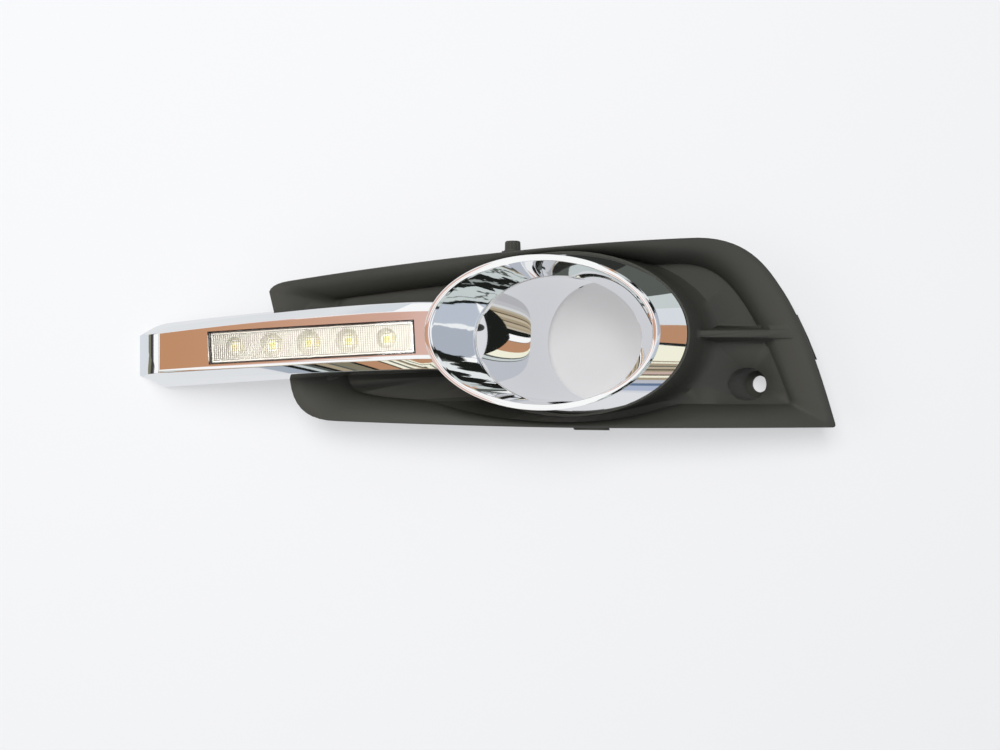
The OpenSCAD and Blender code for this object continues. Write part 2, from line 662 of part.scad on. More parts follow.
// Thin locating tab outside the return flange, along a stretch of the rim
tab_proud = 1;
module edge_tab(stretch, from, to) {
    line = [for (t = [from, (from + to) / 2, to]) bend(rim_curves[stretch], t)];
    low = crown_z(line[1].x) - flange_h;
    out = unit(line[1] - centre);
    translate([0, 0, low]) linear_extrude(flange_h - 3)
        polygon(concat([for (p = line) p + out * 0.6],
            [for (i = [2:-1:0]) line[i] + out * (1.8 + tab_proud)]));
}

// Web behind the collar, and the lamp carrier that hangs from it
carrier_in = tube_r + 0.8;
carrier_out = carrier_in + 2.6;
carrier_behind = 11;
web_c = [-18.2, 4.2];
web_a = 88.2;
web_b = 58.2;
lamp_pcd = 2 * (carrier_out + lamp_post_out);
post_end = -25.4;
post_angles = [0, 120, 240];
// The first post hangs from the web, the others stand beside the carrier's wall
function post_top(a) = a == 0 ? (web_low + web_t / 3 - lamp_pcd / 2 * sin(lean)) / cos(lean) : 4;

module carrier() {
    difference() {
        union() {
            translate([0, 0, web_low]) linear_extrude(web_t)
                polygon([for (k = [0:71]) oval(web_c, web_a, web_b, k * 5)]);
            intersection() {
                along_lamp() translate([0, 0, -carrier_behind]) cylinder(r = carrier_out, h = 90, $fn = 96);
                translate([-150, -100, -80]) cube([300, 200, 80 + web_top - 0.5]);
            }
            for (a = post_angles) along_lamp() rotate([0, 0, a]) translate([lamp_pcd / 2, 0, post_end])
                cylinder(r = lamp_post_r, h = post_top(a) - post_end);
        }
        along_lamp() translate([0, 0, -60]) cylinder(r = carrier_in, h = 160, $fn = 96);
        for (a = post_angles) along_lamp() rotate([0, 0, a]) translate([lamp_pcd / 2, 0, post_end - 1])
            cylinder(r = lamp_hole_r, h = 11);
        for (p = trim_posts) translate([p.x, p.y, web_low - 1]) cylinder(r = screw_r + 0.35, h = web_t + 2);
    }
}

// Raised rib across the recess floor, from the collar to the outer wall
rib_y = 5.3;
module rib() {
    flare = [for (i = [0:5]) let (a = 90 * i / 5) [rib_w / 2 + (rib_foot - rib_w) / 2 * (1 - sin(a)),
        1 - cos(a)]];
    intersection() {
        translate([60, rib_y, floor_z - 1]) rotate([90, 0, 90]) linear_extrude(100)
            polygon(concat([for (p = flare) [p.x, 1 + 24 * p.y]],
                [for (i = [5:-1:0]) [-flare[i].x, 1 + 24 * flare[i].y]], [[-rib_foot / 2, 0],
                [rib_foot / 2, 0]]));
        translate([0, rib_y + 20, 0]) rotate([90, 0, 0]) linear_extrude(40)
            polygon([[71.5, 12.8], [75, 13.2], [144, 6.6], [136, 4], [128, -2], [123, floor_z - 1],
                [92, floor_z - 1], [80, 3]]);
    }
}

// Slanted pocket with its seat and screw hole
pocket_at = [125.9, -31.2, -28.5];
pocket_l = 32;
module at_pocket() translate(pocket_at) along_lamp() children();

module pocket_boss() difference() {
    at_pocket() translate([0, 0, -3]) cylinder(r1 = pocket_seat_r + pocket_wall,
        r2 = pocket_mouth_r + pocket_wall, h = pocket_l + 3, $fn = 64);
    translate([60, -100, floor_z - 0.8]) cube([140, 140, 60]);
}

module pocket_cut() at_pocket() {
    cylinder(r1 = pocket_seat_r, r2 = pocket_mouth_r, h = pocket_l, $fn = 64);
    translate([0, 0, -5]) cylinder(r = screw_hole_r, h = 10, $fn = 64);
}

// Saddle under the arm
saddle_x = [-221, -106];
function saddle_top(x) = back_z(x) - 0.5;
module saddle_block(inset, drop, low) intersection() {
    translate([0, 60, 0]) rotate([90, 0, 0]) linear_extrude(120)
        polygon(concat([[saddle_x[0] + inset, low]], [for (i = [0:6])
            let (x = mix(saddle_x[0] + inset, saddle_x[1] - inset, i / 6))
            [x, min(saddle_top(x), 25.5) - drop]], [[saddle_x[1] - inset, low]]));
    translate([0, 0, -40]) linear_extrude(100) polygon([[saddle_x[0] + inset, back_top(-221) - 0.6 - inset],
        [saddle_x[1] - inset, back_top(-121) - 0.6 - inset],
        [saddle_x[1] - inset, back_low(-121) + 0.6 + inset],
        [saddle_x[0] + inset, back_low(-221) + 0.6 + inset]]);
}

// Low ledge along the saddle's lower side
ledge_x = [-180, -111];
ledge_w = 3.6;
ledge_h = 6;
module saddle_ledge() translate([0, 0, floor_z - 1.2]) linear_extrude(ledge_h)
    polygon([[ledge_x[0], back_low(ledge_x[0]) + 3], [ledge_x[1], back_low(ledge_x[1]) + 3],
        [ledge_x[1], back_low(ledge_x[1]) - ledge_w], [ledge_x[0], back_low(ledge_x[0]) - ledge_w]]);

// Way for the wires through the saddle's top
module wire_window() translate([-168, -9, -20]) cube([44, 20, 60]);

module bezel() {
    color(black) difference() {
        union() {
            bezel_shell();
            carrier();
            rib();
            pocket_boss();
            saddle_block(0, 0, floor_z - 1.2);
            saddle_ledge();
            clip_tab();
            edge_tab(0, 0.48, 0.78);
            edge_tab(6, 0.48, 0.55);
        }
        saddle_block(wall, wall, -60);
        wire_window();
        clip_hole();
        pocket_cut();
    }
}

// Fluted retainer on the top edge, pushed through a tab of the return flange
clip_x = -60;
clip_z = -2;
tab_out_y = 65.1;
tab_t = 2.5;
clip_hole_r = 3.3;
module clip_tab() translate([clip_x - 8, tab_out_y - tab_t, clip_z - 8]) cube([16, tab_t, 20]);

module clip_hole() translate([clip_x, tab_out_y + 1, clip_z]) rotate([90, 0, 0])
    cylinder(r = clip_hole_r, h = tab_t + 2);

module push_clip() {
    color(black) translate([clip_x, tab_out_y + play, clip_z]) rotate([-90, 0, 0]) difference() {
        rotate_extrude() polygon([[0, 8.2], [4.9, 8.2], [5.7, 7.2], [5.9, 1.6], [6.4, 1.4], [6.4, 0],
            [clip_hole_r - 0.2, 0], [clip_hole_r - 0.2, -tab_t - 2 * play],
            [clip_hole_r + 0.7, -tab_t - 0.6], [clip_hole_r - 0.9, -tab_t - 5], [0, -tab_t - 5]]);
        for (i = [0:11]) rotate([0, 0, i * 30]) translate([6.1, 0, 2.2])
            cylinder(r = 0.9, h = 8, $fn = 16);
    }
}

bezel();
chrome_trim();
drl_lens();
lens_gasket();
reflector_tray();
led_board();
for (i = [1:led_count]) led(i);
heat_sink();
driver_board();
driver_chip();
driver_coil();
wire_header();
rear_housing();
housing_gasket();
cable_gland();
breather_vent();
for (i = [1:2]) board_screw(i);
for (i = [1:4]) housing_screw(i);
for (i = [1:4]) trim_screw(i);
push_clip();
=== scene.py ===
import math
from types import SimpleNamespace

import bmesh
import bpy
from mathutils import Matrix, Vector


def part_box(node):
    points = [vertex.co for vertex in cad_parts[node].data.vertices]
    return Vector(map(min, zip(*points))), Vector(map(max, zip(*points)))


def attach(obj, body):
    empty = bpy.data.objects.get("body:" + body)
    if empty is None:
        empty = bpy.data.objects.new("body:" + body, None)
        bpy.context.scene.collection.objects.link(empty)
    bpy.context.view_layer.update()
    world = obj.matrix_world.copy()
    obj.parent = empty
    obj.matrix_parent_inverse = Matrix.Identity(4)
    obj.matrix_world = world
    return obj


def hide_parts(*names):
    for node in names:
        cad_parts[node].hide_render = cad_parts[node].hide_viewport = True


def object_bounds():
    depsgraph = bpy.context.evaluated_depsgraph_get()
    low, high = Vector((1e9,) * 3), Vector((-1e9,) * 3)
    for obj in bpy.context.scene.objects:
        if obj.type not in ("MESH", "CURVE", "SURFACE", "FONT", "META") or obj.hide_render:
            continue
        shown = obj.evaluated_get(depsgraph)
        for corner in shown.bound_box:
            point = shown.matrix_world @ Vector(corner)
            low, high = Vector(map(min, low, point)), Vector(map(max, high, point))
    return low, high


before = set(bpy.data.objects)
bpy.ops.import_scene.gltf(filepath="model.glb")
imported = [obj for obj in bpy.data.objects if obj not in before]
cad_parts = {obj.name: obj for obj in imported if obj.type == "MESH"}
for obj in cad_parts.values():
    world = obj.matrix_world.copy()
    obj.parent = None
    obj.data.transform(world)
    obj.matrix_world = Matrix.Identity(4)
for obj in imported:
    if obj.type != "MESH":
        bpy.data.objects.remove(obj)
cad_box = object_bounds()

bl_info = {
    "name": "Daytime running light with lamp surround",
    "version": (1, 0, 0),
    "blender": (4, 5, 0),
    "location": "3D View > Sidebar > Running light",
    "description": "Dresses the running light: plated trim, grained bezel, fluted lens, lamp parts and stage",
    "category": "Object",
}

MM = 0.001
# Points nearer to each other than this, in metres, are one point.
SAME_POINT = 2e-6


def length(name, description, millimetres):
    """A length property, stored in metres."""
    return bpy.props.FloatProperty(
        name=name, description=description, default=millimetres * MM, unit="LENGTH", precision=4)


def color(name, description, default):
    """A colour property."""
    return bpy.props.FloatVectorProperty(
        name=name, description=description, default=default, subtype="COLOR", min=0, max=1)


class TrimSizes(bpy.types.PropertyGroup):
    opening_r: length("Opening radius", "Radius of the round lamp opening", 44)
    tube_wall: length("Tube wall", "Wall of the tube round the opening", 2.4)
    tube_behind: length("Tube behind", "Length of the tube behind the opening's centre", 8)
    lean: bpy.props.FloatProperty(
        name="Lean", description="Lean of the lamp axis to the arm's side", default=math.radians(32),
        subtype="ANGLE")
    mouth_left: length("Mouth left", "Height of the tube's mouth on the arm's side", 55)
    mouth_right: length("Mouth right", "Height of the tube's mouth on the far side", 35.2)
    lip_a: length("Lip half length", "Half length of the oval lip", 80.75)
    lip_b: length("Lip half height", "Half height of the oval lip", 53.5)
    lip_band: length("Lip band", "Width of the lip at its two ends", 5.6)
    lip_band_side: length("Lip band at the sides", "Width of the lip at its top and bottom", 4.4)
    lip_z: length("Lip height", "Height of the lip above the opening's centre", 61.4)
    skirt_a: length("Skirt half length", "Half length of the skirt at its base", 83)
    skirt_b: length("Skirt half height", "Half height of the skirt at its base", 57.5)
    skirt_z: length("Skirt base", "Height of the skirt's base at the arm's side", 26)
    skirt_rise: length("Skirt rise", "Rise of the skirt's base towards the far side", 16)
    skirt_foot: length("Skirt foot", "Depth of the hidden foot inside the collar", 6)
    plated_wall: length("Plated wall", "Wall of the plated moulding", 2.2)
    arm_l: length("Arm length", "Length of the arm's face", 192)
    arm_w: length("Arm width", "Width of the arm's face at the oval", 32.2)
    arm_taper: length("Arm taper", "Narrowing of the arm's face", 4)
    arm_sweep: length("Arm sweep", "Sideways sweep of the arm's face", 12.2)
    arm_z: length("Arm height", "Height of the arm's face at the oval", 58)
    arm_drop: length("Arm drop", "Fall of the arm's face to its raked end", 38)
    arm_depth: length("Arm depth", "Depth of the arm's walls at the oval", 30.5)
    arm_end_depth: length("Arm end depth", "Depth of the arm's walls at the raked end", 46)
    arm_rake: length("Arm rake", "Rake of the end wall", 30)
    arm_face_t: length("Arm face", "Thickness of the arm's face", 2.2)


class LensSizes(bpy.types.PropertyGroup):
    land_in: length("Inner land", "Face between the oval and the lens", 7)
    land_out: length("Outer land", "Face between the lens and the raked end", 38)
    land_side: length("Side land", "Face beside the lens", 5)
    low_in: length("Low at the inner end", "How far the lens sits below the face's middle there", 1.65)
    low_out: length("Low at the outer end", "How far the lens sits below the face's middle there", 0.1)
    gap: length("Window gap", "Gap round the lens", 0.5)
    end_gap: length("Inner end gap", "Wider gap at the lens's inner end", 1.6)
    recess: length("Recess", "Depth of the lens below the arm's face", 1.3)
    thick: length("Thickness", "Thickness of the lens", 2.6)
    flute: length("Flute pitch", "Distance between the upright flutes", 1.55)
    relief: length("Flute relief", "Height of the upright flutes", 0.36)
    relief_across: length("Cross relief", "Height of the flutes that run along the lens", 0.18)


class StageSizes(bpy.types.PropertyGroup):
    camera_height: length("Camera height", "Height of the camera above the opening's centre", 912)
    camera_lens: bpy.props.FloatProperty(
        name="Camera lens", description="Focal length in millimetres", default=45.0)
    floor_color: color("Floor colour", "Colour of the sheet under the part", (0.90, 0.90, 0.905))


class FinishColors(bpy.types.PropertyGroup):
    plastic: color("Bezel plastic", "Grained black moulding", (0.053, 0.054, 0.046))
    chrome: color("Plating", "Bright plating of the trim", (0.93, 0.935, 0.94))
    lens: color("Lens", "Clear lens", (0.985, 0.985, 0.97))
    # Painted shade: this colour darkens the lens in the valleys between its flutes.
    valley_shade: color("Lens valleys", "Dark lines between the lens's flutes", (0.42, 0.39, 0.33))
    seal: color("Seals", "Soft seals", (0.02, 0.02, 0.02))
    tray: color("Tray", "Bright tray behind the lens", (0.60, 0.585, 0.53))
    white_board: color("Light board", "White mask of the light board", (0.80, 0.82, 0.80))
    green_board: color("Driver board", "Green mask of the driver board", (0.02, 0.12, 0.05))
    phosphor: color("Phosphor", "Unlit light emitters", (0.80, 0.72, 0.30))
    aluminium: color("Heat sink", "Bare aluminium of the heat sink", (0.72, 0.73, 0.75))
    chip: color("Chip", "Chip and the coil's core", (0.025, 0.025, 0.025))
    nylon: color("Header", "Ivory wire header", (0.72, 0.67, 0.52))
    zinc: color("Screws", "Zinc plated screws", (0.70, 0.69, 0.62))


def own_keys(group):
    """The names of a property group's own values."""
    return [key for key in group.bl_rna.properties.keys() if key not in ("rna_type", "name")]


def millimetres(group):
    """The group's values by name, with its lengths in millimetres."""
    values = {}
    for key in own_keys(group):
        value, prop = getattr(group, key), group.bl_rna.properties[key]
        values[key] = value / MM if getattr(prop, "unit", "") == "LENGTH" else value
    return SimpleNamespace(**values)


def mix(a, b, t):
    return a + (b - a) * t


def clamp01(t):
    return min(1.0, max(0.0, t))


class Trim:
    """Places on the plated trim and its light module, in millimetres, worked out from their sizes."""
    # The oval: the skirt's centre, and the lip's centre beside the point where the lamp axis meets the lip.
    SKIRT_C, LIP_SHIFT = (-21.9, 4.5), (-2.1, 4.7)
    UNDER_LIP, LIP_DEPTH, COLLAR_GAP, FOOT_INSET, FOOT_WALL = 0.8, 2, 0.3, 1.6, 1.8
    # The lip's section: how far its crest stands up, its two edges fall, and the crest's share of the band.
    CREST_RISE, INNER_FALL, OUTER_FALL, CREST_SHARE, MOUTH_WALL = 0.6, 0.2, 0.3, 0.55, 2.6
    # The arm: where its face starts, its middle, the height that its end rests on, its edges and walls.
    ARM_X0, FACE_MID_Y, REST_Z = -121, 3.7, -38
    CHAMFER, SIDE_T, ARM_SUNK, RAKE_RUN, SKIRT_SINK = 1.3, 2, 3, 40, 1.2
    SWEEP_TOP, SWEEP_LOW = 1.4, 1.15
    # How far the back edges stand out past the face's, at the oval and at the raked end.
    SPREAD_TOP, SPREAD_LOW = (6.9, 9.6), (9.6, 10.4)
    # How far they are tucked in past the end, from where, over which run, and with which power.
    TUCK_TOP, TUCK_LOW = (7, 5, 25, 2), (10, 8, 22, 1)
    # How far the back leans to the oval at its root, and over which run.
    ROOT_LEAN, ROOT_RUN = 6, 8
    # Where the bevels end, at the oval and at the raked end: share of the way out, share of the way down.
    BEVEL_LOW = ((0.86, 0.28), (0.5, 0.45))
    BEVEL_TOP = ((0.88, 0.13), (0.5, 0.4))
    # The hollow runs this far down, as a share of the walls, so that it opens the back.
    PAST_BACK = 1.25

    def __init__(self, sizes, lens):
        self.s, self.lens = sizes, lens
        self.lip_c = (-sizes.lip_z * math.tan(sizes.lean) + self.LIP_SHIFT[0], self.LIP_SHIFT[1])
        self.under_lip_z = sizes.lip_z - self.LIP_DEPTH
        self.arm_x1, self.arm_start = self.ARM_X0 - sizes.arm_l, self.ARM_X0 - self.ARM_SUNK
        self.lens_l = sizes.arm_l - lens.land_in - lens.land_out
        self.lens_w = sizes.arm_w - 2 * lens.land_side
        self.set_window()

    def on_tube(self, r, t, sink):
        """Point on a tube round the lamp axis where it meets the sloping mouth, sunk below it."""
        s = self.s
        u, v = r * math.cos(t), r * math.sin(t)
        slope = (s.mouth_right - s.mouth_left) / (2 * s.opening_r)
        z = (s.mouth_left + s.mouth_right) / 2 + slope * u
        return self.along_lamp(u, v, (z - u * math.sin(s.lean)) / math.cos(s.lean) - sink)

    def along_lamp(self, u, v, w):
        c, n = math.cos(self.s.lean), math.sin(self.s.lean)
        return Vector((u * c - w * n, v, u * n + w * c))

    def lip_at(self, share, z, t):
        s = self.s
        return Vector((self.lip_c[0] + (s.lip_a - share * s.lip_band) * math.cos(t),
                       self.lip_c[1] + (s.lip_b - share * s.lip_band_side) * math.sin(t), z))

    def skirt_at(self, g, inset, t, drop=0.0):
        s = self.s
        a = mix(s.skirt_a, s.lip_a - self.UNDER_LIP, g) - inset
        b = mix(s.skirt_b, s.lip_b - self.UNDER_LIP, g) - inset
        base = s.skirt_z + s.skirt_rise * (1 + math.cos(t)) / 2 + self.COLLAR_GAP
        return Vector((mix(self.SKIRT_C[0], self.lip_c[0], g) + a * math.cos(t),
                       mix(self.SKIRT_C[1], self.lip_c[1], g) + b * math.sin(t),
                       mix(base, self.under_lip_z, g) - drop))

    def ring_corners(self, t):
        """(point, corner radius) round the oval's section at angle t: up the bore, over the lip and back."""
        s = self.s
        r, wall, foot, back = s.opening_r, s.plated_wall, s.skirt_foot, self.FOOT_INSET + self.FOOT_WALL
        mouth, lip = self.on_tube(r, t, 0), self.lip_at(1, s.lip_z - self.INNER_FALL, t)
        outer = r + s.tube_wall
        return [
            (self.along_lamp(r * math.cos(t), r * math.sin(t), -s.tube_behind), 0.3),
            (mouth, 1.6),
            (lip, 0.7),
            (self.lip_at(self.CREST_SHARE, s.lip_z + self.CREST_RISE, t), 1.2),
            (self.lip_at(0, s.lip_z - self.OUTER_FALL, t), 0.8),
            (self.skirt_at(1, 0, t), 0.6),
            (self.skirt_at(0, 0, t), 0.5),
            (self.skirt_at(0, self.FOOT_INSET, t), 0.3),
            (self.skirt_at(0, self.FOOT_INSET, t, foot), 0.3),
            (self.skirt_at(0, back, t, foot), 0.3),
            (self.skirt_at(0, back, t), 0.3),
            (self.skirt_at(0.5, wall + 0.2, t), 0.3),
            (mix(mouth, lip, 0.7) + self.along_lamp(0, 0, -1) * wall, 0.3),
            (self.on_tube(outer, t, self.MOUTH_WALL), 0.3),
            (self.along_lamp(outer * math.cos(t), outer * math.sin(t), -s.tube_behind), 0.3),
        ]

    def arm_s(self, x):
        return max(0.0, (self.ARM_X0 - x) / self.s.arm_l)

    def face_z(self, x):
        s = self.s
        return s.arm_z - s.arm_drop * (max(0.0, self.arm_start - x) / (s.arm_l - self.ARM_SUNK)) ** 2

    def face_top(self, x):
        s = self.s
        sweep = (s.arm_sweep + s.arm_taper / 2) * self.arm_s(x) ** self.SWEEP_TOP
        return self.FACE_MID_Y + s.arm_w / 2 - sweep

    def face_low(self, x):
        s = self.s
        sweep = (s.arm_sweep - s.arm_taper / 2) * self.arm_s(x) ** self.SWEEP_LOW
        return self.FACE_MID_Y - s.arm_w / 2 - sweep

    def tuck(self, x, by, start, run, power):
        return by * clamp01((self.arm_x1 - start - x) / run) ** power

    def back_z(self, x):
        depth = mix(self.s.arm_depth, self.s.arm_end_depth, self.arm_s(x))
        return max(self.REST_Z, self.face_z(x) - depth)

    def back_top(self, x):
        return self.face_top(x) + mix(*self.SPREAD_TOP, self.arm_s(x)) - self.tuck(x, *self.TUCK_TOP)

    def back_low(self, x):
        return self.face_low(x) - mix(*self.SPREAD_LOW, self.arm_s(x)) + self.tuck(x, *self.TUCK_LOW)

    def back_x(self, x):
        rake = clamp01((self.arm_x1 + self.RAKE_RUN - x) / self.RAKE_RUN) ** 2
        lean = self.ROOT_LEAN * max(0, 1 - (self.arm_start - x) / self.ROOT_RUN)
        return x + lean - self.s.arm_rake * rake

    def skirt_x(self, y, z):
        """X where a point of that place and height sinks into the skirt's near side."""
        s = self.s
        g = (z - s.skirt_z) / (self.under_lip_z - s.skirt_z)
        a, b = mix(s.skirt_a, s.lip_a, g), mix(s.skirt_b, s.lip_b, g)
        cx, cy = mix(self.SKIRT_C[0], self.lip_c[0], g), mix(self.SKIRT_C[1], self.lip_c[1], g)
        return cx - a * math.sqrt(max(0.0, 1 - ((y - cy) / b) ** 2)) + self.SKIRT_SINK

    def arm_point(self, x, h, face_y, back_y, drop=0.0):
        z = mix(self.face_z(x), self.back_z(self.back_x(x)), h) - drop
        return Vector((mix(x, self.back_x(x), h), mix(face_y, back_y, h), z))

    def bevel_point(self, x, face_y, back_y, ends):
        out, down = [mix(a, b, self.arm_s(x)) for a, b in zip(*ends)]
        p = self.arm_point(x, down, face_y, back_y)
        return Vector((p.x, mix(face_y, back_y, out), p.z))

    def arm_outer(self, x):
        """(point, corner radius) round the arm's outside, from its upper back edge to its lower one."""
        t, l, c = self.face_top(x), self.face_low(x), self.CHAMFER
        bt, bl = self.back_top(self.back_x(x)), self.back_low(self.back_x(x))
        return [
            (self.arm_point(x, 1, t, bt), 0),
            (self.bevel_point(x, t, bt, self.BEVEL_TOP), 1.2),
            (self.arm_point(x, 0, t - 0.3, bt), 0.3),
            (self.arm_point(x, 0, l + c, bl), 0.7),
            (self.arm_point(x, 0.03, l - 0.4, bl), 0.7),
            (self.bevel_point(x, l, bl, self.BEVEL_LOW), 1.2),
            (self.arm_point(x, 1, l, bl), 0)]

    def arm_inner(self, x):
        """The same for the arm's hollow."""
        t, l = self.face_top(x) - self.SIDE_T, self.face_low(x) + self.SIDE_T
        bt = self.back_top(self.back_x(x)) - self.SIDE_T
        bl = self.back_low(self.back_x(x)) + self.SIDE_T
        drop = self.s.arm_face_t
        return [
            (self.arm_point(x, self.PAST_BACK, t, bt), 0),
            (self.arm_point(x, 0, t, bt, drop), 0.5),
            (self.arm_point(x, 0, l, bl, drop), 0.5),
            (self.bevel_point(x, l, bl, self.BEVEL_LOW), 0.5),
            (self.arm_point(x, self.PAST_BACK, l, bl), 0)]

    def set_window(self):
        """Sets the lens window's middle, its turn and tilt, and the arc that the face above it follows."""
        ends = (self.arm_x1 + self.lens.land_out, self.ARM_X0 - self.lens.land_in)
        low = (self.lens.low_out, self.lens.low_in)
        y = [(self.face_top(x) + self.face_low(x)) / 2 - d for x, d in zip(ends, low)]
        z = [self.face_z(x) for x in ends]
        self.middle = Vector((sum(ends) / 2, sum(y) / 2, sum(z) / 2))
        self.turn = math.atan2(y[1] - y[0], self.lens_l)
        self.tilt = math.atan2(z[1] - z[0], self.lens_l)
        self.sag = self.face_z(self.middle.x) - self.middle.z
        half = self.lens_l / 2 / math.cos(self.tilt)
        self.face_r = (half * half + self.sag * self.sag) / (2 * self.sag)

    def in_window(self, p):
        """A point of the light module's own frame, moved to the part's frame."""
        ct, st, cu, su = math.cos(self.tilt), math.sin(self.tilt), math.cos(self.turn), math.sin(self.turn)
        x, z = p.x * ct - p.z * st, p.x * st + p.z * ct
        return self.middle + Vector((x * cu - p.y * su, x * su + p.y * cu, z))

    def height_under_face(self, x, depth):
        """Height in the light module's frame, at a depth below the arm's curved face."""
        return self.sag - self.face_r + math.sqrt((self.face_r - depth) ** 2 - x * x)

    def on_face(self, x, y, depth):
        """A point of the light module, at a depth below the arm's curved face."""
        return self.in_window(Vector((x, y, self.height_under_face(x, depth))))


def rounded(corners, steps):
    """The closed outline with each corner turned into a small curve of steps + 1 points."""
    # A curve takes no more than this share of the way to the next corner.
    most = 0.45
    n, out = len(corners), []
    for i, (p, r) in enumerate(corners):
        before, after = corners[i - 1][0] - p, corners[(i + 1) % n][0] - p
        start, end = [p + way.normalized() * min(r, most * way.length) for way in (before, after)]
        for k in range(steps + 1):
            t = k / steps
            out.append(start * (1 - t) ** 2 + p * 2 * t * (1 - t) + end * t ** 2)
    return out


def skin(loops, around):
    """(points, faces) of a skin over loops of the same length; around joins the last loop to the first."""
    n, m = len(loops), len(loops[0])
    faces = []
    for k in range(n if around else n - 1):
        for j in range(m):
            a, b = k * m + j, ((k + 1) % n) * m + j
            c, d = ((k + 1) % n) * m + (j + 1) % m, k * m + (j + 1) % m
            faces.append((a, b, c, d))
    if not around:
        faces.append(tuple(range(m)))
        faces.append(tuple((n - 1) * m + j for j in reversed(range(m))))
    return [p for loop in loops for p in loop], faces


def screw_post(name, place, middle, foot, top, depth):
    """A round post with a pilot hole from below; place moves its points to the part's frame."""
    r, pilot, steps = 3.2, 1.5, 32
    outline = [(0, top), (r, top), (r, foot), (pilot, foot), (pilot, foot + depth), (0, foot + depth)]
    turns = [math.tau * k / steps for k in range(steps)]
    loops = [[place(Vector((middle[0] + a * math.cos(t), middle[1] + a * math.sin(t), z))) for a, z in outline]
             for t in turns]
    points, faces = skin(loops, around=True)
    m = len(outline)
    return make_object(name, points, [f for f in faces if {i % m for i in f} != {0, m - 1}])


def make_object(name, points, faces):
    """A mesh object from points in millimetres, with its doubles merged and its faces turned outwards."""
    mesh = bpy.data.meshes.new(name)
    mesh.from_pydata([p * MM for p in points], [], faces)
    bm = bmesh.new()
    bm.from_mesh(mesh)
    bmesh.ops.remove_doubles(bm, verts=bm.verts, dist=SAME_POINT)
    bmesh.ops.delete(bm, geom=[e for e in bm.edges if not e.link_faces], context="EDGES")
    bmesh.ops.recalc_face_normals(bm, faces=bm.faces)
    return object_from(name, mesh, bm)


def object_from(name, mesh, bm):
    """An object with the edited mesh."""
    bm.to_mesh(mesh)
    bm.free()
    return add_object(name, mesh)


def add_object(name, data):
    """A new object in the scene."""
    obj = bpy.data.objects.new(name, data)
    bpy.context.collection.objects.link(obj)
    return obj


def apply_modifiers(obj):
    graph = bpy.context.evaluated_depsgraph_get()
    mesh = bpy.data.meshes.new_from_object(obj.evaluated_get(graph))
    old = obj.data
    obj.modifiers.clear()
    obj.data = mesh
    bpy.data.meshes.remove(old)


def boolean(obj, cutter, operation):
    before = len(obj.data.vertices)
    step = obj.modifiers.new("cut", "BOOLEAN")
    step.operation, step.object, step.solver = operation, cutter, "MANIFOLD"
    apply_modifiers(obj)
    if len(obj.data.vertices) == before:
        raise RuntimeError(f"the boolean with {cutter.name} did nothing")
    bpy.data.objects.remove(cutter)


def smooth(obj, angle=30):
    obj.data.shade_smooth()
    obj.data.set_sharp_from_angle(angle=math.radians(angle))


class Kit:
    """Adds nodes to one tree. An input is the socket of another node, or a plain value."""

    def __init__(self, tree):
        self.tree = tree

    def sockets(self, way, kind, *names):
        """Gives a node group its named inputs or outputs."""
        for name in names:
            self.tree.interface.new_socket(name, in_out=way, socket_type=f"NodeSocket{kind}")

    def node(self, kind, inputs=None, **settings):
        node = self.tree.nodes.new(kind)
        for key, value in settings.items():
            setattr(node, key, value)
        for key, value in (inputs or {}).items():
            self.feed(node.inputs[key], value)
        return node

    def feed(self, socket, value):
        if isinstance(value, bpy.types.NodeSocket):
            self.tree.links.new(value, socket)
        else:
            socket.default_value = (*value, 1) if socket.type == "RGBA" else value

    def math(self, operation, *inputs):
        return self.node("ShaderNodeMath", dict(enumerate(inputs)), operation=operation).outputs[0]

    def negative(self, value):
        return self.math("MULTIPLY", value, -1.0)

    def bearing(self, x, y):
        """The direction from the origin, in degrees."""
        return self.math("MULTIPLY", self.math("ARCTAN2", y, x), math.degrees(1))

    def both(self, *tests):
        """1 where every test gives 1."""
        value = tests[0]
        for test in tests[1:]:
            value = self.math("MULTIPLY", value, test)
        return value

    def within(self, value, low=None, high=None):
        """1 where the value lies between the limits that are given."""
        return self.both(*[self.math(operation, value, limit) for operation, limit in
                           (("GREATER_THAN", low), ("LESS_THAN", high)) if limit is not None])

    def mix(self, factor, a, b):
        """A colour between a and b."""
        node = self.node("ShaderNodeMix", {"Factor": factor, "A": a, "B": b}, data_type="RGBA")
        return node.outputs["Result"]

    def ramp(self, value, stops, low, high, mode="CONSTANT"):
        """A colour ramp whose stops are places between low and high."""
        node = self.node("ShaderNodeValToRGB")
        node.color_ramp.interpolation = mode
        marks = node.color_ramp.elements
        marks.remove(marks[1])
        for i, (place, tone) in enumerate(stops):
            share = (place - low) / (high - low)
            mark = marks.new(share) if i else marks[0]
            mark.position, mark.color = share, (*tone, 1)
        self.feed(node.inputs["Fac"], self.math("DIVIDE", self.math("SUBTRACT", value, low), high - low))
        return node.outputs["Color"]

    def mirrored(self, path):
        """1 for the rays that the plating and the lens send out."""
        return self.math("MAXIMUM", path["Is Glossy Ray"], path["Is Transmission Ray"])

    def show(self, factor, base, other):
        """Makes the material show the base shader, and the other one by the factor."""
        blend = self.node("ShaderNodeMixShader", {"Fac": factor, 1: base, 2: other})
        out = next(n for n in self.tree.nodes if n.type == "OUTPUT_MATERIAL")
        self.feed(out.inputs["Surface"], blend.outputs["Shader"])


def principled(name):
    material = bpy.data.materials.new(name)
    material.use_nodes = True
    shader = next(n for n in material.node_tree.nodes if n.type == "BSDF_PRINCIPLED")
    return material, Kit(material.node_tree), shader


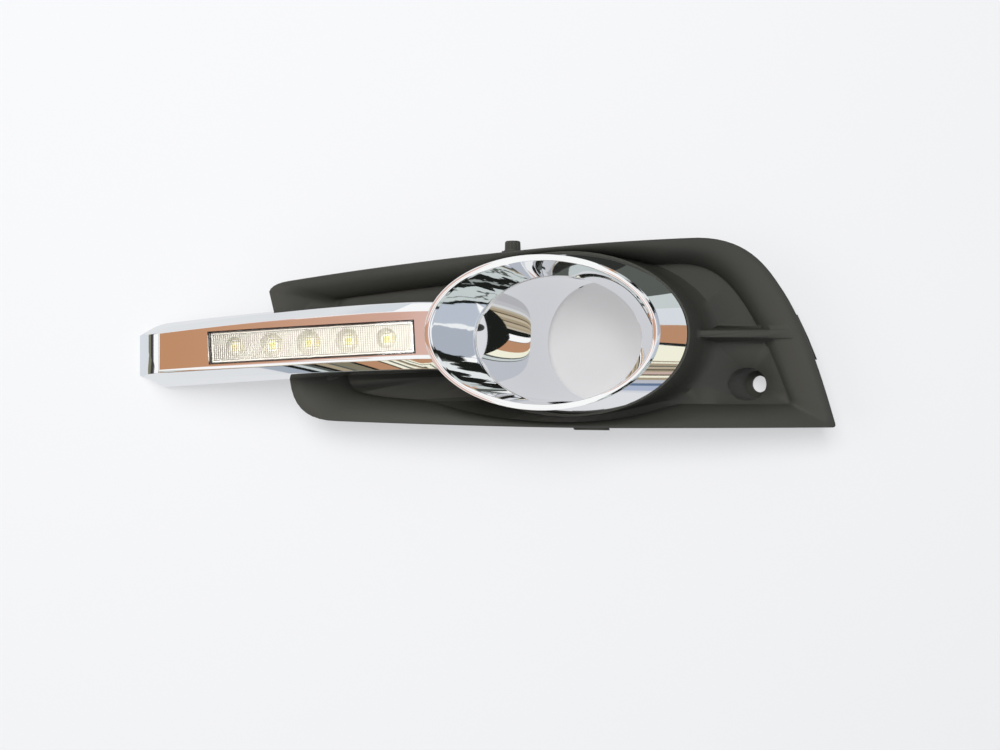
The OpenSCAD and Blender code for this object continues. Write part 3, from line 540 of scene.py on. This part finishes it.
def surface_group():
    """Shader group: fine grain for the bump, and a soft wide variation of colour and roughness."""
    group = bpy.data.node_groups.get("moulded_surface")
    if group:
        return group
    group = bpy.data.node_groups.new("moulded_surface", "ShaderNodeTree")
    kit = Kit(group)
    kit.sockets("INPUT", "Color", "Color")
    kit.sockets("INPUT", "Float", "Roughness", "Grain scale", "Variation")
    kit.sockets("OUTPUT", "Color", "Color")
    kit.sockets("OUTPUT", "Float", "Roughness", "Height")
    given, place = kit.node("NodeGroupInput").outputs, kit.node("ShaderNodeTexCoord").outputs["Object"]
    wide_share, grain_share = 0.6, 0.4
    wide = kit.node("ShaderNodeTexNoise", {"Vector": place, "Scale": 28, "Detail": 4}).outputs["Fac"]
    grain = kit.node("ShaderNodeTexNoise", {
        "Vector": place, "Scale": given["Grain scale"], "Detail": 3}).outputs["Fac"]
    blend = kit.math("ADD", kit.math("MULTIPLY", wide, wide_share), kit.math("MULTIPLY", grain, grain_share))
    drift = kit.math("MULTIPLY", kit.math("SUBTRACT", blend, 0.5), given["Variation"])
    level = kit.math("ADD", drift, 1.0)
    tint = kit.node("ShaderNodeHueSaturation", {"Value": level, "Color": given["Color"]})
    kit.node("NodeGroupOutput", {"Color": tint.outputs["Color"], "Height": grain,
                                 "Roughness": kit.math("MULTIPLY", given["Roughness"], level)})
    return group


def surface(name, tone, roughness, metallic=0.0, grain=2200, depth=0.00006, variation=0.25, gloss=0.5):
    """A material whose colour, roughness and fine grain vary over the surface."""
    material, kit, shader = principled(name)
    varied = kit.node("ShaderNodeGroup", {
        "Color": tone, "Roughness": roughness, "Grain scale": grain, "Variation": variation},
        node_tree=surface_group()).outputs
    bump = kit.node("ShaderNodeBump", {"Strength": 0.5, "Distance": depth, "Height": varied["Height"]})
    for key, value in (("Metallic", metallic), ("Specular IOR Level", gloss), ("Base Color", varied["Color"]),
                       ("Roughness", varied["Roughness"]), ("Normal", bump.outputs["Normal"])):
        kit.feed(shader.inputs[key], value)
    return material


def chrome_plate():
    return surface("chrome_plate", bpy.context.scene.drl_finish.chrome, 0.03, metallic=1.0,
                   grain=60, depth=0.000002, variation=0.04)


def clear_lens():
    """Clear plastic, with painted shade between its flutes, that lets the lamps' light through to the tray."""
    material, kit, shader = principled("clear_lens")
    tones, dark_share = bpy.context.scene.drl_finish, 0.7
    # The mask darkens the lens between its flutes with painted shade.
    valley_shade = kit.node("ShaderNodeAttribute", attribute_name="valley_shade").outputs["Fac"]
    tone = kit.mix(kit.math("MULTIPLY", valley_shade, dark_share), tones.lens, tones.valley_shade)
    for key, value in (("Base Color", tone), ("Transmission Weight", 1.0), ("Roughness", 0.06), ("IOR", 1.49)):
        kit.feed(shader.inputs[key], value)
    clear = kit.node("ShaderNodeBsdfTransparent").outputs["BSDF"]
    kit.show(kit.node("ShaderNodeLightPath").outputs["Is Shadow Ray"], shader.outputs["BSDF"], clear)
    return material


def dress(obj, material):
    """Gives the object this material alone."""
    obj.data.materials.clear()
    obj.data.materials.append(material)


# The stage's tones, as the plating mirrors them.
BLACK, SOOT, SHADE, OLIVE = (0.012, 0.014, 0.012), (0.03, 0.032, 0.03), (0.10, 0.11, 0.10), (0.13, 0.12, 0.08)
WHITE, PALE, MIST, HAZE = (1.0, 1.0, 1.0), (0.70, 0.74, 0.78), (0.58, 0.63, 0.63), (0.47, 0.50, 0.56)
CREAM, TAN, BROWN, PINK = (0.93, 0.91, 0.74), (0.40, 0.33, 0.23), (0.50, 0.27, 0.155), (0.72, 0.50, 0.44)
PLUM = (0.12, 0.11, 0.14)


def sheet_material(sizes):
    """The pale sheet with painted shade under the part; mirrored rays see a studio's floor with far furniture.
    Lengths in metres.
    """
    material, kit, shader = principled("sheet")
    kit.feed(shader.inputs["Roughness"], 0.9)
    kit.feed(shader.inputs["Base Color"], sizes.floor_color)
    place = kit.node("ShaderNodeTexCoord").outputs["Object"]
    x, y, _ = kit.node("ShaderNodeSeparateXYZ", {0: place}).outputs
    far = kit.node("ShaderNodeVectorMath", {0: place}, operation="LENGTH").outputs["Value"]
    turn = kit.bearing(x, y)
    # Painted shade: for mirrored rays the sheet darkens towards the part's middle, under the part.
    room = kit.ramp(far, [
        (0.0, (0.60, 0.59, 0.58)), (0.02, (0.60, 0.61, 0.64)), (0.12, (0.74, 0.75, 0.78)),
        (0.4, (0.78, 0.80, 0.82)), (0.9, PALE)], 0.0, 1.0, "LINEAR")
    under = kit.both(kit.within(x, 0.003, 0.125), kit.within(far, high=0.12), kit.within(y, -0.06, 0.06))
    room = kit.mix(under, room, opening_streaks(kit, x, y))
    room = kit.mix(kit.both(under, kit.math("GREATER_THAN", x, leaf_edge(kit, y))), room, BLACK)
    benches = kit.ramp(far, [
        (0.0, (0.66, 0.67, 0.72)), (0.2, (0.42, 0.48, 0.62)), (0.24, (0.13, 0.19, 0.30)),
        (0.26, (0.50, 0.52, 0.58)), (0.30, TAN), (0.33, CREAM), (0.36, (0.14, 0.11, 0.08)),
        (0.39, (0.58, 0.44, 0.38)), (0.44, TAN), (0.47, (0.13, 0.11, 0.08)), (0.51, (0.50, 0.42, 0.31)),
        (0.58, SHADE), (0.62, TAN), (0.72, CREAM), (0.80, (0.30, 0.24, 0.17)), (0.86, CREAM)], 0.0, 2.0)
    # Right of the part: sectors between two bearings, from a distance on.
    for nearest, first, last, tone in ((0.135, 26, 38, MIST), (0.135, 38, 75, SHADE), (0.09, 66, 101, SOOT),
                                       (0.19, -72, -11, benches)):
        room = kit.mix(kit.both(kit.within(far, nearest), kit.within(turn, first, last)), room, tone)
    busy = kit.ramp(kit.negative(y), [
        (0.0, (0.74, 0.75, 0.78)), (0.10, (0.38, 0.43, 0.50)), (0.122, BLACK), (0.137, MIST), (0.143, SHADE),
        (0.155, (0.50, 0.48, 0.38)), (0.162, BLACK), (0.172, TAN), (0.19, SHADE), (0.20, (0.62, 0.60, 0.48)),
        (0.21, (0.22, 0.20, 0.14)), (0.265, BLACK), (0.285, BROWN), (0.45, BLACK), (0.49, CREAM), (0.60, SHADE),
        (0.68, CREAM), (0.84, TAN), (0.98, BLACK), (1.1, CREAM), (1.5, SHADE), (1.7, CREAM), (2.4, BROWN)],
        0.0, 3.0)
    strips = kit.ramp(kit.negative(x), [
        (0.0, PALE), (0.3495, (0.20, 0.20, 0.13)), (0.3530, (0.05, 0.05, 0.05)), (0.3552, (0.17, 0.14, 0.21)),
        (0.3568, WHITE)], 0.0, 0.4)
    # Before the arm, what its lower bevel shows; beyond its end, a dark patch, and what its rake shows.
    for along, across, tone in (((None, -0.10), (None, -0.1), busy), ((None, -0.42), (-0.3, 0.3), OLIVE),
                                ((-0.38, -0.34), (-0.06, 0.06), strips)):
        room = kit.mix(kit.both(kit.within(x, *along), kit.within(y, *across)), room, tone)
    # For the camera a share of the sheet glows; the glow is darker under the opening, painted shade for the
    # tube's shadow there.
    plain = kit.ramp(far, [
        (0.0, (0.56, 0.55, 0.56)), (0.045, (0.62, 0.61, 0.62)), (0.075, (0.97, 0.975, 0.99))], 0.0, 1.0, "LINEAR")
    path, camera_share = kit.node("ShaderNodeLightPath").outputs, 0.5
    seen = kit.mirrored(path)
    glow = kit.node("ShaderNodeEmission", {"Color": kit.mix(seen, plain, room)}).outputs["Emission"]
    share = kit.math("MAXIMUM", kit.math("MULTIPLY", path["Is Camera Ray"], camera_share), seen)
    kit.show(share, shader.outputs["BSDF"], glow)
    return material


def opening_streaks(kit, x, y):
    """Straight streaks that fan out under the opening, by their slope in degrees."""
    fan_y, bend = 0.001, 140
    slope = kit.math("ARCTANGENT", kit.math("DIVIDE", kit.math("SUBTRACT", y, fan_y), x))
    slope = kit.math("ADD", kit.math("MULTIPLY", slope, math.degrees(1)), kit.math("MULTIPLY", x, bend))
    return kit.ramp(slope, [
        (-90, (0.46, 0.46, 0.48)), (-60, (0.52, 0.52, 0.54)), (-50, (0.66, 0.67, 0.68)),
        (-44, (0.50, 0.45, 0.36)), (-40, TAN), (-35, (0.17, 0.13, 0.08)), (-32, (0.55, 0.48, 0.36)), (-27, TAN),
        (-22, (0.15, 0.12, 0.08)), (-20, (0.48, 0.41, 0.30)), (-15, TAN), (-12, (0.52, 0.47, 0.38)),
        (-9.5, BLACK), (-1.5, WHITE), (8, SHADE), (9, BROWN), (26, CREAM), (35.5, SHADE), (37.5, MIST),
        (41, (0.16, 0.17, 0.16)), (42.5, (0.52, 0.54, 0.59))], -90, 90)


def leaf_edge(kit, y):
    """X where the black leaf in the tube starts, further out above and below its middle."""
    middle, low_slope, high_slope = 0.046, 0.3, 1.27
    low = kit.math("MULTIPLY", kit.math("MAXIMUM", kit.negative(y), 0.0), low_slope)
    high = kit.math("MULTIPLY", kit.math("MAXIMUM", y, 0.0), high_slope)
    return kit.math("ADD", middle, kit.math("ADD", low, high))


def studio_world():
    """Plain soft light for matt surfaces, and for glossy ones a white studio with dark flags and a beam."""
    world = bpy.data.worlds.new("studio")
    world.use_nodes = True
    kit = Kit(world.node_tree)
    way = kit.node("ShaderNodeTexCoord").outputs["Generated"]
    x, y, z = kit.node("ShaderNodeSeparateXYZ", {0: way}).outputs
    turn, ripple = kit.bearing(x, y), 22
    wave = kit.node("ShaderNodeTexNoise", {"Scale": 9, "Detail": 3, "Vector": way}).outputs["Fac"]
    bent = kit.math("ADD", turn, kit.math("MULTIPLY", kit.math("SUBTRACT", wave, 0.5), ripple))
    flags = kit.ramp(bent, [
        (-180, WHITE), (-90, HAZE), (-74, SHADE), (-71, TAN), (-69, MIST), (-66, SHADE), (-64, MIST),
        (-59, BLACK), (-52, (0.30, 0.33, 0.32)), (-50, BLACK), (-43, MIST), (-36, SHADE), (-34, MIST),
        (-29, BLACK), (-24, (0.50, 0.55, 0.63)), (-5, (0.90, 0.92, 0.93)), (-2, (0.42, 0.46, 0.53)), (20, BLACK),
        (31, SHADE), (33, (0.80, 0.83, 0.84)), (41, BLACK), (50, (0.38, 0.40, 0.40)), (52, MIST), (59, BROWN),
        (62, MIST), (66, SHADE), (68, MIST), (73, HAZE), (100, WHITE)], -180, 180)
    low = kit.ramp(turn, [
        (-180, PLUM), (-150, SHADE), (-142, MIST), (-128, BROWN), (-118, CREAM), (-108, SHADE),
        (-102, (0.80, 0.79, 0.70)), (-97, BROWN), (-93, BLACK), (-88, HAZE), (-44, TAN), (-40, SHADE),
        (-38, CREAM), (-12, BLACK), (-9.5, BROWN), (9.5, (0.72, 0.73, 0.70)), (18, SHADE), (20, MIST),
        (24, BLACK), (33, (0.60, 0.64, 0.62)), (36, SHADE), (75, PALE), (130, WHITE), (150, PLUM)], -180, 180)
    wood = kit.ramp(kit.negative(x), [
        (0.0, (0.76, 0.52, 0.46)), (0.15, (0.67, 0.41, 0.33)), (0.45, (0.61, 0.35, 0.24)),
        (0.83, (0.55, 0.28, 0.15))], 0.0, 1.0, "LINEAR")
    # Limits of a ray's direction, whose length is 1: x along the arm, y across it and z up.
    tall = kit.within(z, 0.2)
    overhead = kit.both(kit.within(x, 0.485), kit.within(z, 0.845))
    flagged = kit.both(tall, kit.within(x, 0.30), kit.math("SUBTRACT", 1.0, overhead))
    room = kit.mix(tall, low, kit.mix(flagged, WHITE, flags))
    room = kit.mix(kit.both(kit.within(x, high=-0.2), kit.within(z, 0.66, 0.853)), room, PINK)
    beam = kit.math("MAXIMUM", *[
        kit.both(kit.within(y, -half, half), kit.within(x, end, -0.012), kit.within(z, foot))
        for half, end, foot in ((0.12, -0.87, 0.4), (0.13, -0.17, 0.9))])
    room = kit.mix(beam, room, wood)
    path = kit.node("ShaderNodeLightPath").outputs
    plain = kit.mix(path["Is Camera Ray"], (0.25, 0.26, 0.28), WHITE)
    background = world.node_tree.nodes["Background"]
    kit.feed(background.inputs["Color"], kit.mix(kit.mirrored(path), plain, room))
    kit.feed(background.inputs["Strength"], 1.0)
    return world


class DRL_OT_stage(bpy.types.Operator):
    """Sets the camera, the floor and the lamps"""
    bl_idname = "drl.stage"
    bl_label = "Stage"
    CAMERA_X, CAMERA_Y, SENSOR_WIDTH, FLOOR_HALF = -0.0693, -0.0244, 36.0, 6
    # Name, place in metres, size and power of each lamp.
    LAMPS = (("over_lamp", (-0.3, 0.55, 2.0), 1.0, 31), ("left_lamp", (-1.5, 0.0, 1.3), 1.2, 6))

    def execute(self, context):
        sizes = context.scene.drl_stage
        camera = bpy.data.cameras.new("camera")
        camera.lens, camera.sensor_width = sizes.camera_lens, self.SENSOR_WIDTH
        eye = add_object("camera", camera)
        eye.location = (self.CAMERA_X, self.CAMERA_Y, sizes.camera_height)
        context.scene.camera = eye
        self.floor(sizes)
        for name, place, size, power in self.LAMPS:
            light = bpy.data.lights.new(name, "AREA")
            light.size, light.energy = size, power
            lamp = add_object(name, light)
            lamp.location = place
            lamp.visible_glossy = False
            lamp.rotation_euler = (-Vector(place)).to_track_quat("-Z", "Y").to_euler()
        context.scene.world = studio_world()
        context.scene.view_settings.view_transform = "Standard"
        return {"FINISHED"}

    def floor(self, sizes):
        bm = bmesh.new()
        bmesh.ops.create_grid(bm, x_segments=2, y_segments=2, size=self.FLOOR_HALF)
        for v in bm.verts:
            v.co.z = cad_box[0].z
        floor = object_from("floor", bpy.data.meshes.new("floor"), bm)
        dress(floor, sheet_material(sizes))


class DRL_OT_trim(bpy.types.Operator):
    """Builds the plated oval and its arm as one smooth moulding"""
    bl_idname = "drl.trim"
    bl_label = "Plated trim"
    COLUMNS, STATIONS, CORNER_STEPS = 360, 120, 5
    # Posts for the bezel's screws: place and top. Bosses for the housing's: place. Both have pilot holes.
    POSTS = ((-88, 24, 55), (-88, -15, 55), (46, 25, 45.6), (47.6, -16, 44.4))
    BOSSES = ((-87, 7), (-87, -7), (81.2, 6.5), (81.2, -6.5))
    WEB_TOP, POST_HOLE, EAR_TOP, BOSS_HOLE = 17.6, 13, -11.9, 7
    # The raked end's rounding, the hollow's depth in the skirt and past the end, and the window's cut.
    END_R, END_SEGMENTS, END_ANGLE = 5, 8, 35
    HOLLOW_SINK, HOLLOW_PAST, CUT_FROM, CUT_TO = 3, 2.8, -12, 18
    # How far the finished piece's box may lie from its solid's.
    BOX_PLAY = 2

    def execute(self, context):
        trim = Trim(millimetres(context.scene.drl_trim), millimetres(context.scene.drl_lens))
        ring = make_object("plated_trim", *skin(
            [rounded(trim.ring_corners(math.tau * k / self.COLUMNS), self.CORNER_STEPS)
             for k in range(self.COLUMNS)], around=True))
        for x, y, top in self.POSTS:
            post = screw_post("post", lambda p: p, (x, y), self.WEB_TOP, top, self.POST_HOLE)
            boolean(ring, post, "UNION")
        arm = self.loft("arm", trim, trim.arm_outer, 0, trim.arm_x1)
        end = arm.modifiers.new("round", "BEVEL")
        end.width, end.segments, end.limit_method = self.END_R * MM, self.END_SEGMENTS, "ANGLE"
        end.angle_limit = math.radians(self.END_ANGLE)
        end.miter_outer = "MITER_ARC"
        apply_modifiers(arm)
        hollow = self.loft("hollow", trim, trim.arm_inner, self.HOLLOW_SINK, trim.arm_x1 + self.HOLLOW_PAST)
        boolean(arm, hollow, "DIFFERENCE")
        boolean(arm, self.window_block(trim), "DIFFERENCE")
        for x, y in self.BOSSES:
            top = trim.height_under_face(x, trim.s.arm_face_t / 2)
            boolean(arm, screw_post("boss", trim.in_window, (x, y), self.EAR_TOP, top, self.BOSS_HOLE), "UNION")
        boolean(ring, arm, "UNION")
        smooth(ring)
        dress(ring, chrome_plate())
        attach(ring, "root")
        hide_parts("chrome_trim")
        self.compare(ring)
        return {"FINISHED"}

    def compare(self, ring):
        """Stops if a boolean lost a piece of the moulding."""
        low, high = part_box("chrome_trim")
        for axis in range(3):
            places = [v.co[axis] for v in ring.data.vertices]
            if max(abs(min(places) - low[axis]), abs(max(places) - high[axis])) > self.BOX_PLAY * MM:
                raise RuntimeError(f"the plated trim differs from its solid along axis {axis}")

    def loft(self, name, trim, section, sink, end):
        start = trim.arm_start
        first = [(Vector((trim.skirt_x(p.y, p.z) + sink, p.y, p.z)), r) for p, r in section(start)]
        stations = [mix(start, end, i / self.STATIONS) for i in range(self.STATIONS + 1)]
        loops = [rounded(first, self.CORNER_STEPS)]
        loops += [rounded(section(x), self.CORNER_STEPS) for x in stations]
        return make_object(name, *skin(loops, around=False))

    def window_block(self, trim):
        lens = trim.lens
        half_l, half_w = trim.lens_l / 2, trim.lens_w / 2 + lens.gap
        points = [trim.in_window(Vector((a, b, c))) for a in (-half_l - lens.gap, half_l + lens.end_gap)
                  for b in (-half_w, half_w) for c in (self.CUT_FROM, self.CUT_TO)]
        faces = [(0, 1, 3, 2), (4, 6, 7, 5), (0, 4, 5, 1), (2, 3, 7, 6), (0, 2, 6, 4), (1, 5, 7, 3)]
        return make_object("window", points, faces)


def flute_tree(material):
    """Geometry tree of a closed plate: smooth top, pillow flutes below, and a plain wall round them."""
    tree = bpy.data.node_groups.new("fluted_plate", "GeometryNodeTree")
    kit = Kit(tree)
    kit.sockets("OUTPUT", "Geometry", "Geometry")
    kit.sockets("INPUT", "Float", "Length", "Width", "Thickness", "Flute pitch x", "Flute pitch y",
                "Relief x", "Relief y", "Border x", "Border y", "Wall depth")
    kit.sockets("INPUT", "Int", "Cells x", "Cells y")
    calc, size = kit.math, kit.node("NodeGroupInput").outputs
    edge, cross_share = 0.00001, 0.55
    grid = kit.node("GeometryNodeMeshGrid", {
        "Size X": size["Length"], "Size Y": size["Width"],
        "Vertices X": calc("ADD", size["Cells x"], 1), "Vertices Y": calc("ADD", size["Cells y"], 1)})
    grid = grid.outputs["Mesh"]
    top = kit.node("GeometryNodeExtrudeMesh", {
        "Mesh": grid, "Offset Scale": size["Thickness"], "Individual": False})
    under = kit.node("GeometryNodeFlipFaces", {"Mesh": grid})
    place = kit.node("GeometryNodeInputPosition").outputs["Position"]
    x, y, _ = kit.node("ShaderNodeSeparateXYZ", {"Vector": place}).outputs

    def across(place, span, axis):
        """Along one axis: how far inside the flutes' field a point lies, its flute's height, its valley."""
        half = calc("SUBTRACT", calc("MULTIPLY", size[span], 0.5), size[f"Border {axis}"])
        inside = calc("SUBTRACT", half, calc("ABSOLUTE", place))
        share = calc("FRACT", calc("DIVIDE", calc("ADD", place, half), size[f"Flute pitch {axis}"]))
        arch = calc("SUBTRACT", 1.0, calc("POWER", calc("SUBTRACT", calc("MULTIPLY", share, 2.0), 1.0), 2.0))
        return inside, calc("MULTIPLY", arch, size[f"Relief {axis}"]), calc("SUBTRACT", 1.0, arch)

    inside_x, relief_x, dip_x = across(x, "Length", "x")
    inside_y, relief_y, dip_y = across(y, "Width", "y")
    room = calc("MINIMUM", inside_x, inside_y)
    field = calc("GREATER_THAN", room, edge)
    relief = calc("MULTIPLY", calc("ADD", relief_x, relief_y), field)
    drop = kit.node("ShaderNodeCombineXYZ", {"Z": kit.negative(relief)})
    pillows = kit.node("GeometryNodeSetPosition", {
        "Geometry": under.outputs["Mesh"], "Offset": drop.outputs["Vector"]})
    # Where the lens gets painted shade: deep in the valleys between the flutes.
    valley_shade = calc("MAXIMUM", dip_x, calc("MULTIPLY", dip_y, cross_share))
    mark = kit.node("GeometryNodeStoreNamedAttribute", {
        "Name": "valley_shade", "Geometry": pillows.outputs["Geometry"], "Value": calc("MULTIPLY", valley_shade, field)})
    down = kit.node("ShaderNodeCombineXYZ", {"Z": -1.0})
    wall = kit.node("GeometryNodeExtrudeMesh", {
        "Mesh": mark.outputs["Geometry"], "Selection": calc("LESS_THAN", room, 0.0),
        "Offset": down.outputs["Vector"], "Offset Scale": size["Wall depth"], "Individual": False})
    join = kit.node("GeometryNodeJoinGeometry")
    for part in (top, wall):
        kit.feed(join.inputs["Geometry"], part.outputs["Mesh"])
    last = join
    for kind, inputs in (("MergeByDistance", {"Distance": SAME_POINT / 2}), ("RealizeInstances", {}),
                         ("SetMaterial", {"Material": material})):
        last = kit.node(f"GeometryNode{kind}", {"Geometry": last.outputs["Geometry"], **inputs})
    kit.node("NodeGroupOutput", {"Geometry": last.outputs["Geometry"]})
    return tree


def run_tree(name, tree, values):
    """A mesh object made by a geometry tree with the given inputs."""
    obj = make_object(name, [], [])
    step = obj.modifiers.new("make", "NODES")
    step.node_group = tree
    for item in tree.interface.items_tree:
        if item.in_out == "INPUT":
            step[item.identifier] = values[item.name]
    apply_modifiers(obj)
    return obj


class DRL_OT_lens(bpy.types.Operator):
    """Builds the clear lens with its pillow flutes, wall and flange"""
    bl_idname = "drl.lens"
    bl_label = "Fluted lens"
    # Cells of the mesh in a flute and in the plain border, and how deep the wall and the flange reach.
    STEPS, BORDER_CELLS, WALL_LOW = 4, 5, 5.3
    FLANGE_TOP, FLANGE_OUT, FLANGE_PLAY, FLANGE_STEPS = 3.5, 1.2, 0.02, 24
    SHARP = 24

    def execute(self, context):
        trim = Trim(millimetres(context.scene.drl_trim), millimetres(context.scene.drl_lens))
        lens, material = trim.lens, clear_lens()
        flutes = [round((size - 2 * self.BORDER_CELLS * lens.flute / self.STEPS) / lens.flute)
                  for size in (trim.lens_l, trim.lens_w)]
        cells = [n * self.STEPS + 2 * self.BORDER_CELLS for n in flutes]
        step = [trim.lens_l / cells[0] * MM, trim.lens_w / cells[1] * MM]
        plate = run_tree("fluted_lens", flute_tree(material), {
            "Length": trim.lens_l * MM, "Width": trim.lens_w * MM, "Thickness": lens.thick * MM,
            "Flute pitch x": step[0] * self.STEPS, "Flute pitch y": step[1] * self.STEPS,
            "Relief x": lens.relief * MM, "Relief y": lens.relief_across * MM,
            "Border x": step[0] * self.BORDER_CELLS, "Border y": step[1] * self.BORDER_CELLS,
            "Wall depth": (self.WALL_LOW - lens.recess - lens.thick) * MM,
            "Cells x": cells[0], "Cells y": cells[1]})
        for vertex in plate.data.vertices:
            p = vertex.co / MM
            vertex.co = trim.on_face(p.x, p.y, lens.recess + lens.thick - p.z) * MM
        self.join(plate, self.flange(trim))
        smooth(plate, self.SHARP)
        if not plate.data.polygons:
            raise RuntimeError("the fluted lens came out empty")
        dress(plate, material)
        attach(plate, "root")
        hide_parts("drl_lens")
        return {"FINISHED"}

    def flange(self, trim):
        """The thin flange round the wall's foot, hidden under the plated face."""
        a, b = trim.lens_l / 2 + self.FLANGE_PLAY, trim.lens_w / 2 + self.FLANGE_PLAY
        shares = [mix(-1, 1, i / self.FLANGE_STEPS) for i in range(self.FLANGE_STEPS)]
        path = [(u, -1) for u in shares] + [(1, -1), (1, 0)] + [(-u, 1) for u in shares] + [(-1, 1), (-1, 0)]
        loops = []
        for u, v in path:
            near, out = (u * a, v * b), (u * (a + self.FLANGE_OUT), v * (b + self.FLANGE_OUT))
            loops.append([trim.on_face(*end, depth) for end, depth in (
                (near, self.FLANGE_TOP), (out, self.FLANGE_TOP), (out, self.WALL_LOW), (near, self.WALL_LOW))])
        return make_object("flange", *skin(loops, around=True))

    def join(self, plate, other):
        bm = bmesh.new()
        bm.from_mesh(plate.data)
        bm.from_mesh(other.data)
        bmesh.ops.recalc_face_normals(bm, faces=bm.faces)
        bm.to_mesh(plate.data)
        bm.free()
        bpy.data.objects.remove(other)


class DRL_OT_bezel(bpy.types.Operator):
    """Gives the black moulding its smooth shading and its fine grain"""
    bl_idname = "drl.bezel"
    bl_label = "Black bezel"
    SHARP = 28

    def execute(self, context):
        tone = context.scene.drl_finish.plastic
        grained = surface("black_plastic", tone, 0.52, grain=2600, depth=0.00005, variation=0.3, gloss=0.45)
        bm = bmesh.new()
        bm.from_mesh(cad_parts["bezel"].data)
        bmesh.ops.remove_doubles(bm, verts=bm.verts, dist=SAME_POINT)
        piece = object_from("grained_bezel", bpy.data.meshes.new("grained_bezel"), bm)
        smooth(piece, self.SHARP)
        dress(piece, grained)
        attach(piece, "root")
        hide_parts("bezel")
        return {"FINISHED"}


class DRL_OT_finish(bpy.types.Operator):
    """Gives every node of the part its finish"""
    bl_idname = "drl.finish"
    bl_label = "Finishes"

    def execute(self, context):
        tones = context.scene.drl_finish
        finishes = (
            (surface("moulded_black", tones.plastic, 0.5, grain=1800),
             ("rear_housing", "push_clip", "breather_vent")),
            (surface("soft_seal", tones.seal, 0.75, grain=1400, variation=0.35),
             ("lens_gasket", "housing_gasket", "cable_gland")),
            (surface("bright_tray", tones.tray, 0.32, grain=400, depth=0.00002, variation=0.06),
             ("reflector_tray",)),
            (surface("white_board", tones.white_board, 0.35, grain=900, variation=0.1), ("led_board",)),
            (surface("green_board", tones.green_board, 0.3, grain=900, variation=0.2), ("driver_board",)),
            (surface("led_phosphor", tones.phosphor, 0.2, grain=3000, variation=0.15),
             [f"led_{i}" for i in range(1, 6)]),
            (surface("bare_aluminium", tones.aluminium, 0.38, metallic=1.0, grain=1500, variation=0.2),
             ("heat_sink",)),
            (surface("chip_black", tones.chip, 0.6, grain=3000), ("driver_chip", "driver_coil")),
            (surface("ivory_nylon", tones.nylon, 0.5, grain=1500, variation=0.15), ("wire_header",)),
            (surface("zinc_screw", tones.zinc, 0.3, metallic=1.0, grain=2500, variation=0.3),
             [f"{kind}_screw_{i}" for kind, count in (("board", 2), ("housing", 4), ("trim", 4))
              for i in range(1, count + 1)]),
        )
        for material, nodes in finishes:
            for node in nodes:
                dress(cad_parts[node], material)
        return {"FINISHED"}


class DRL_PT_panel(bpy.types.Panel):
    """Lists the running light's sizes, colours and steps"""
    bl_idname = "DRL_PT_panel"
    bl_label = "Running light"
    bl_space_type = "VIEW_3D"
    bl_region_type = "UI"
    bl_category = "Running light"

    def draw(self, context):
        scene = context.scene
        for title, group, operators in (
                ("Stage", scene.drl_stage, ("drl.stage",)), ("Plated trim", scene.drl_trim, ("drl.trim",)),
                ("Lens", scene.drl_lens, ("drl.lens",)),
                ("Finishes", scene.drl_finish, ("drl.bezel", "drl.finish"))):
            box = self.layout.box()
            box.label(text=title)
            for key in own_keys(group):
                box.prop(group, key)
            for operator in operators:
                box.operator(operator)


GROUPS = {"drl_trim": TrimSizes, "drl_lens": LensSizes, "drl_stage": StageSizes, "drl_finish": FinishColors}
CLASSES = (*GROUPS.values(), DRL_OT_stage, DRL_OT_trim, DRL_OT_lens, DRL_OT_bezel, DRL_OT_finish, DRL_PT_panel)


def register():
    for cls in CLASSES:
        bpy.utils.register_class(cls)
    for name, group in GROUPS.items():
        setattr(bpy.types.Scene, name, bpy.props.PointerProperty(type=group))


def unregister():
    for name in GROUPS:
        delattr(bpy.types.Scene, name)
    for cls in reversed(CLASSES):
        bpy.utils.unregister_class(cls)


def main():
    register()
    bpy.ops.drl.stage()
    bpy.ops.drl.trim()
    bpy.ops.drl.lens()
    bpy.ops.drl.bezel()
    bpy.ops.drl.finish()


if __name__ == "__main__":
    main()
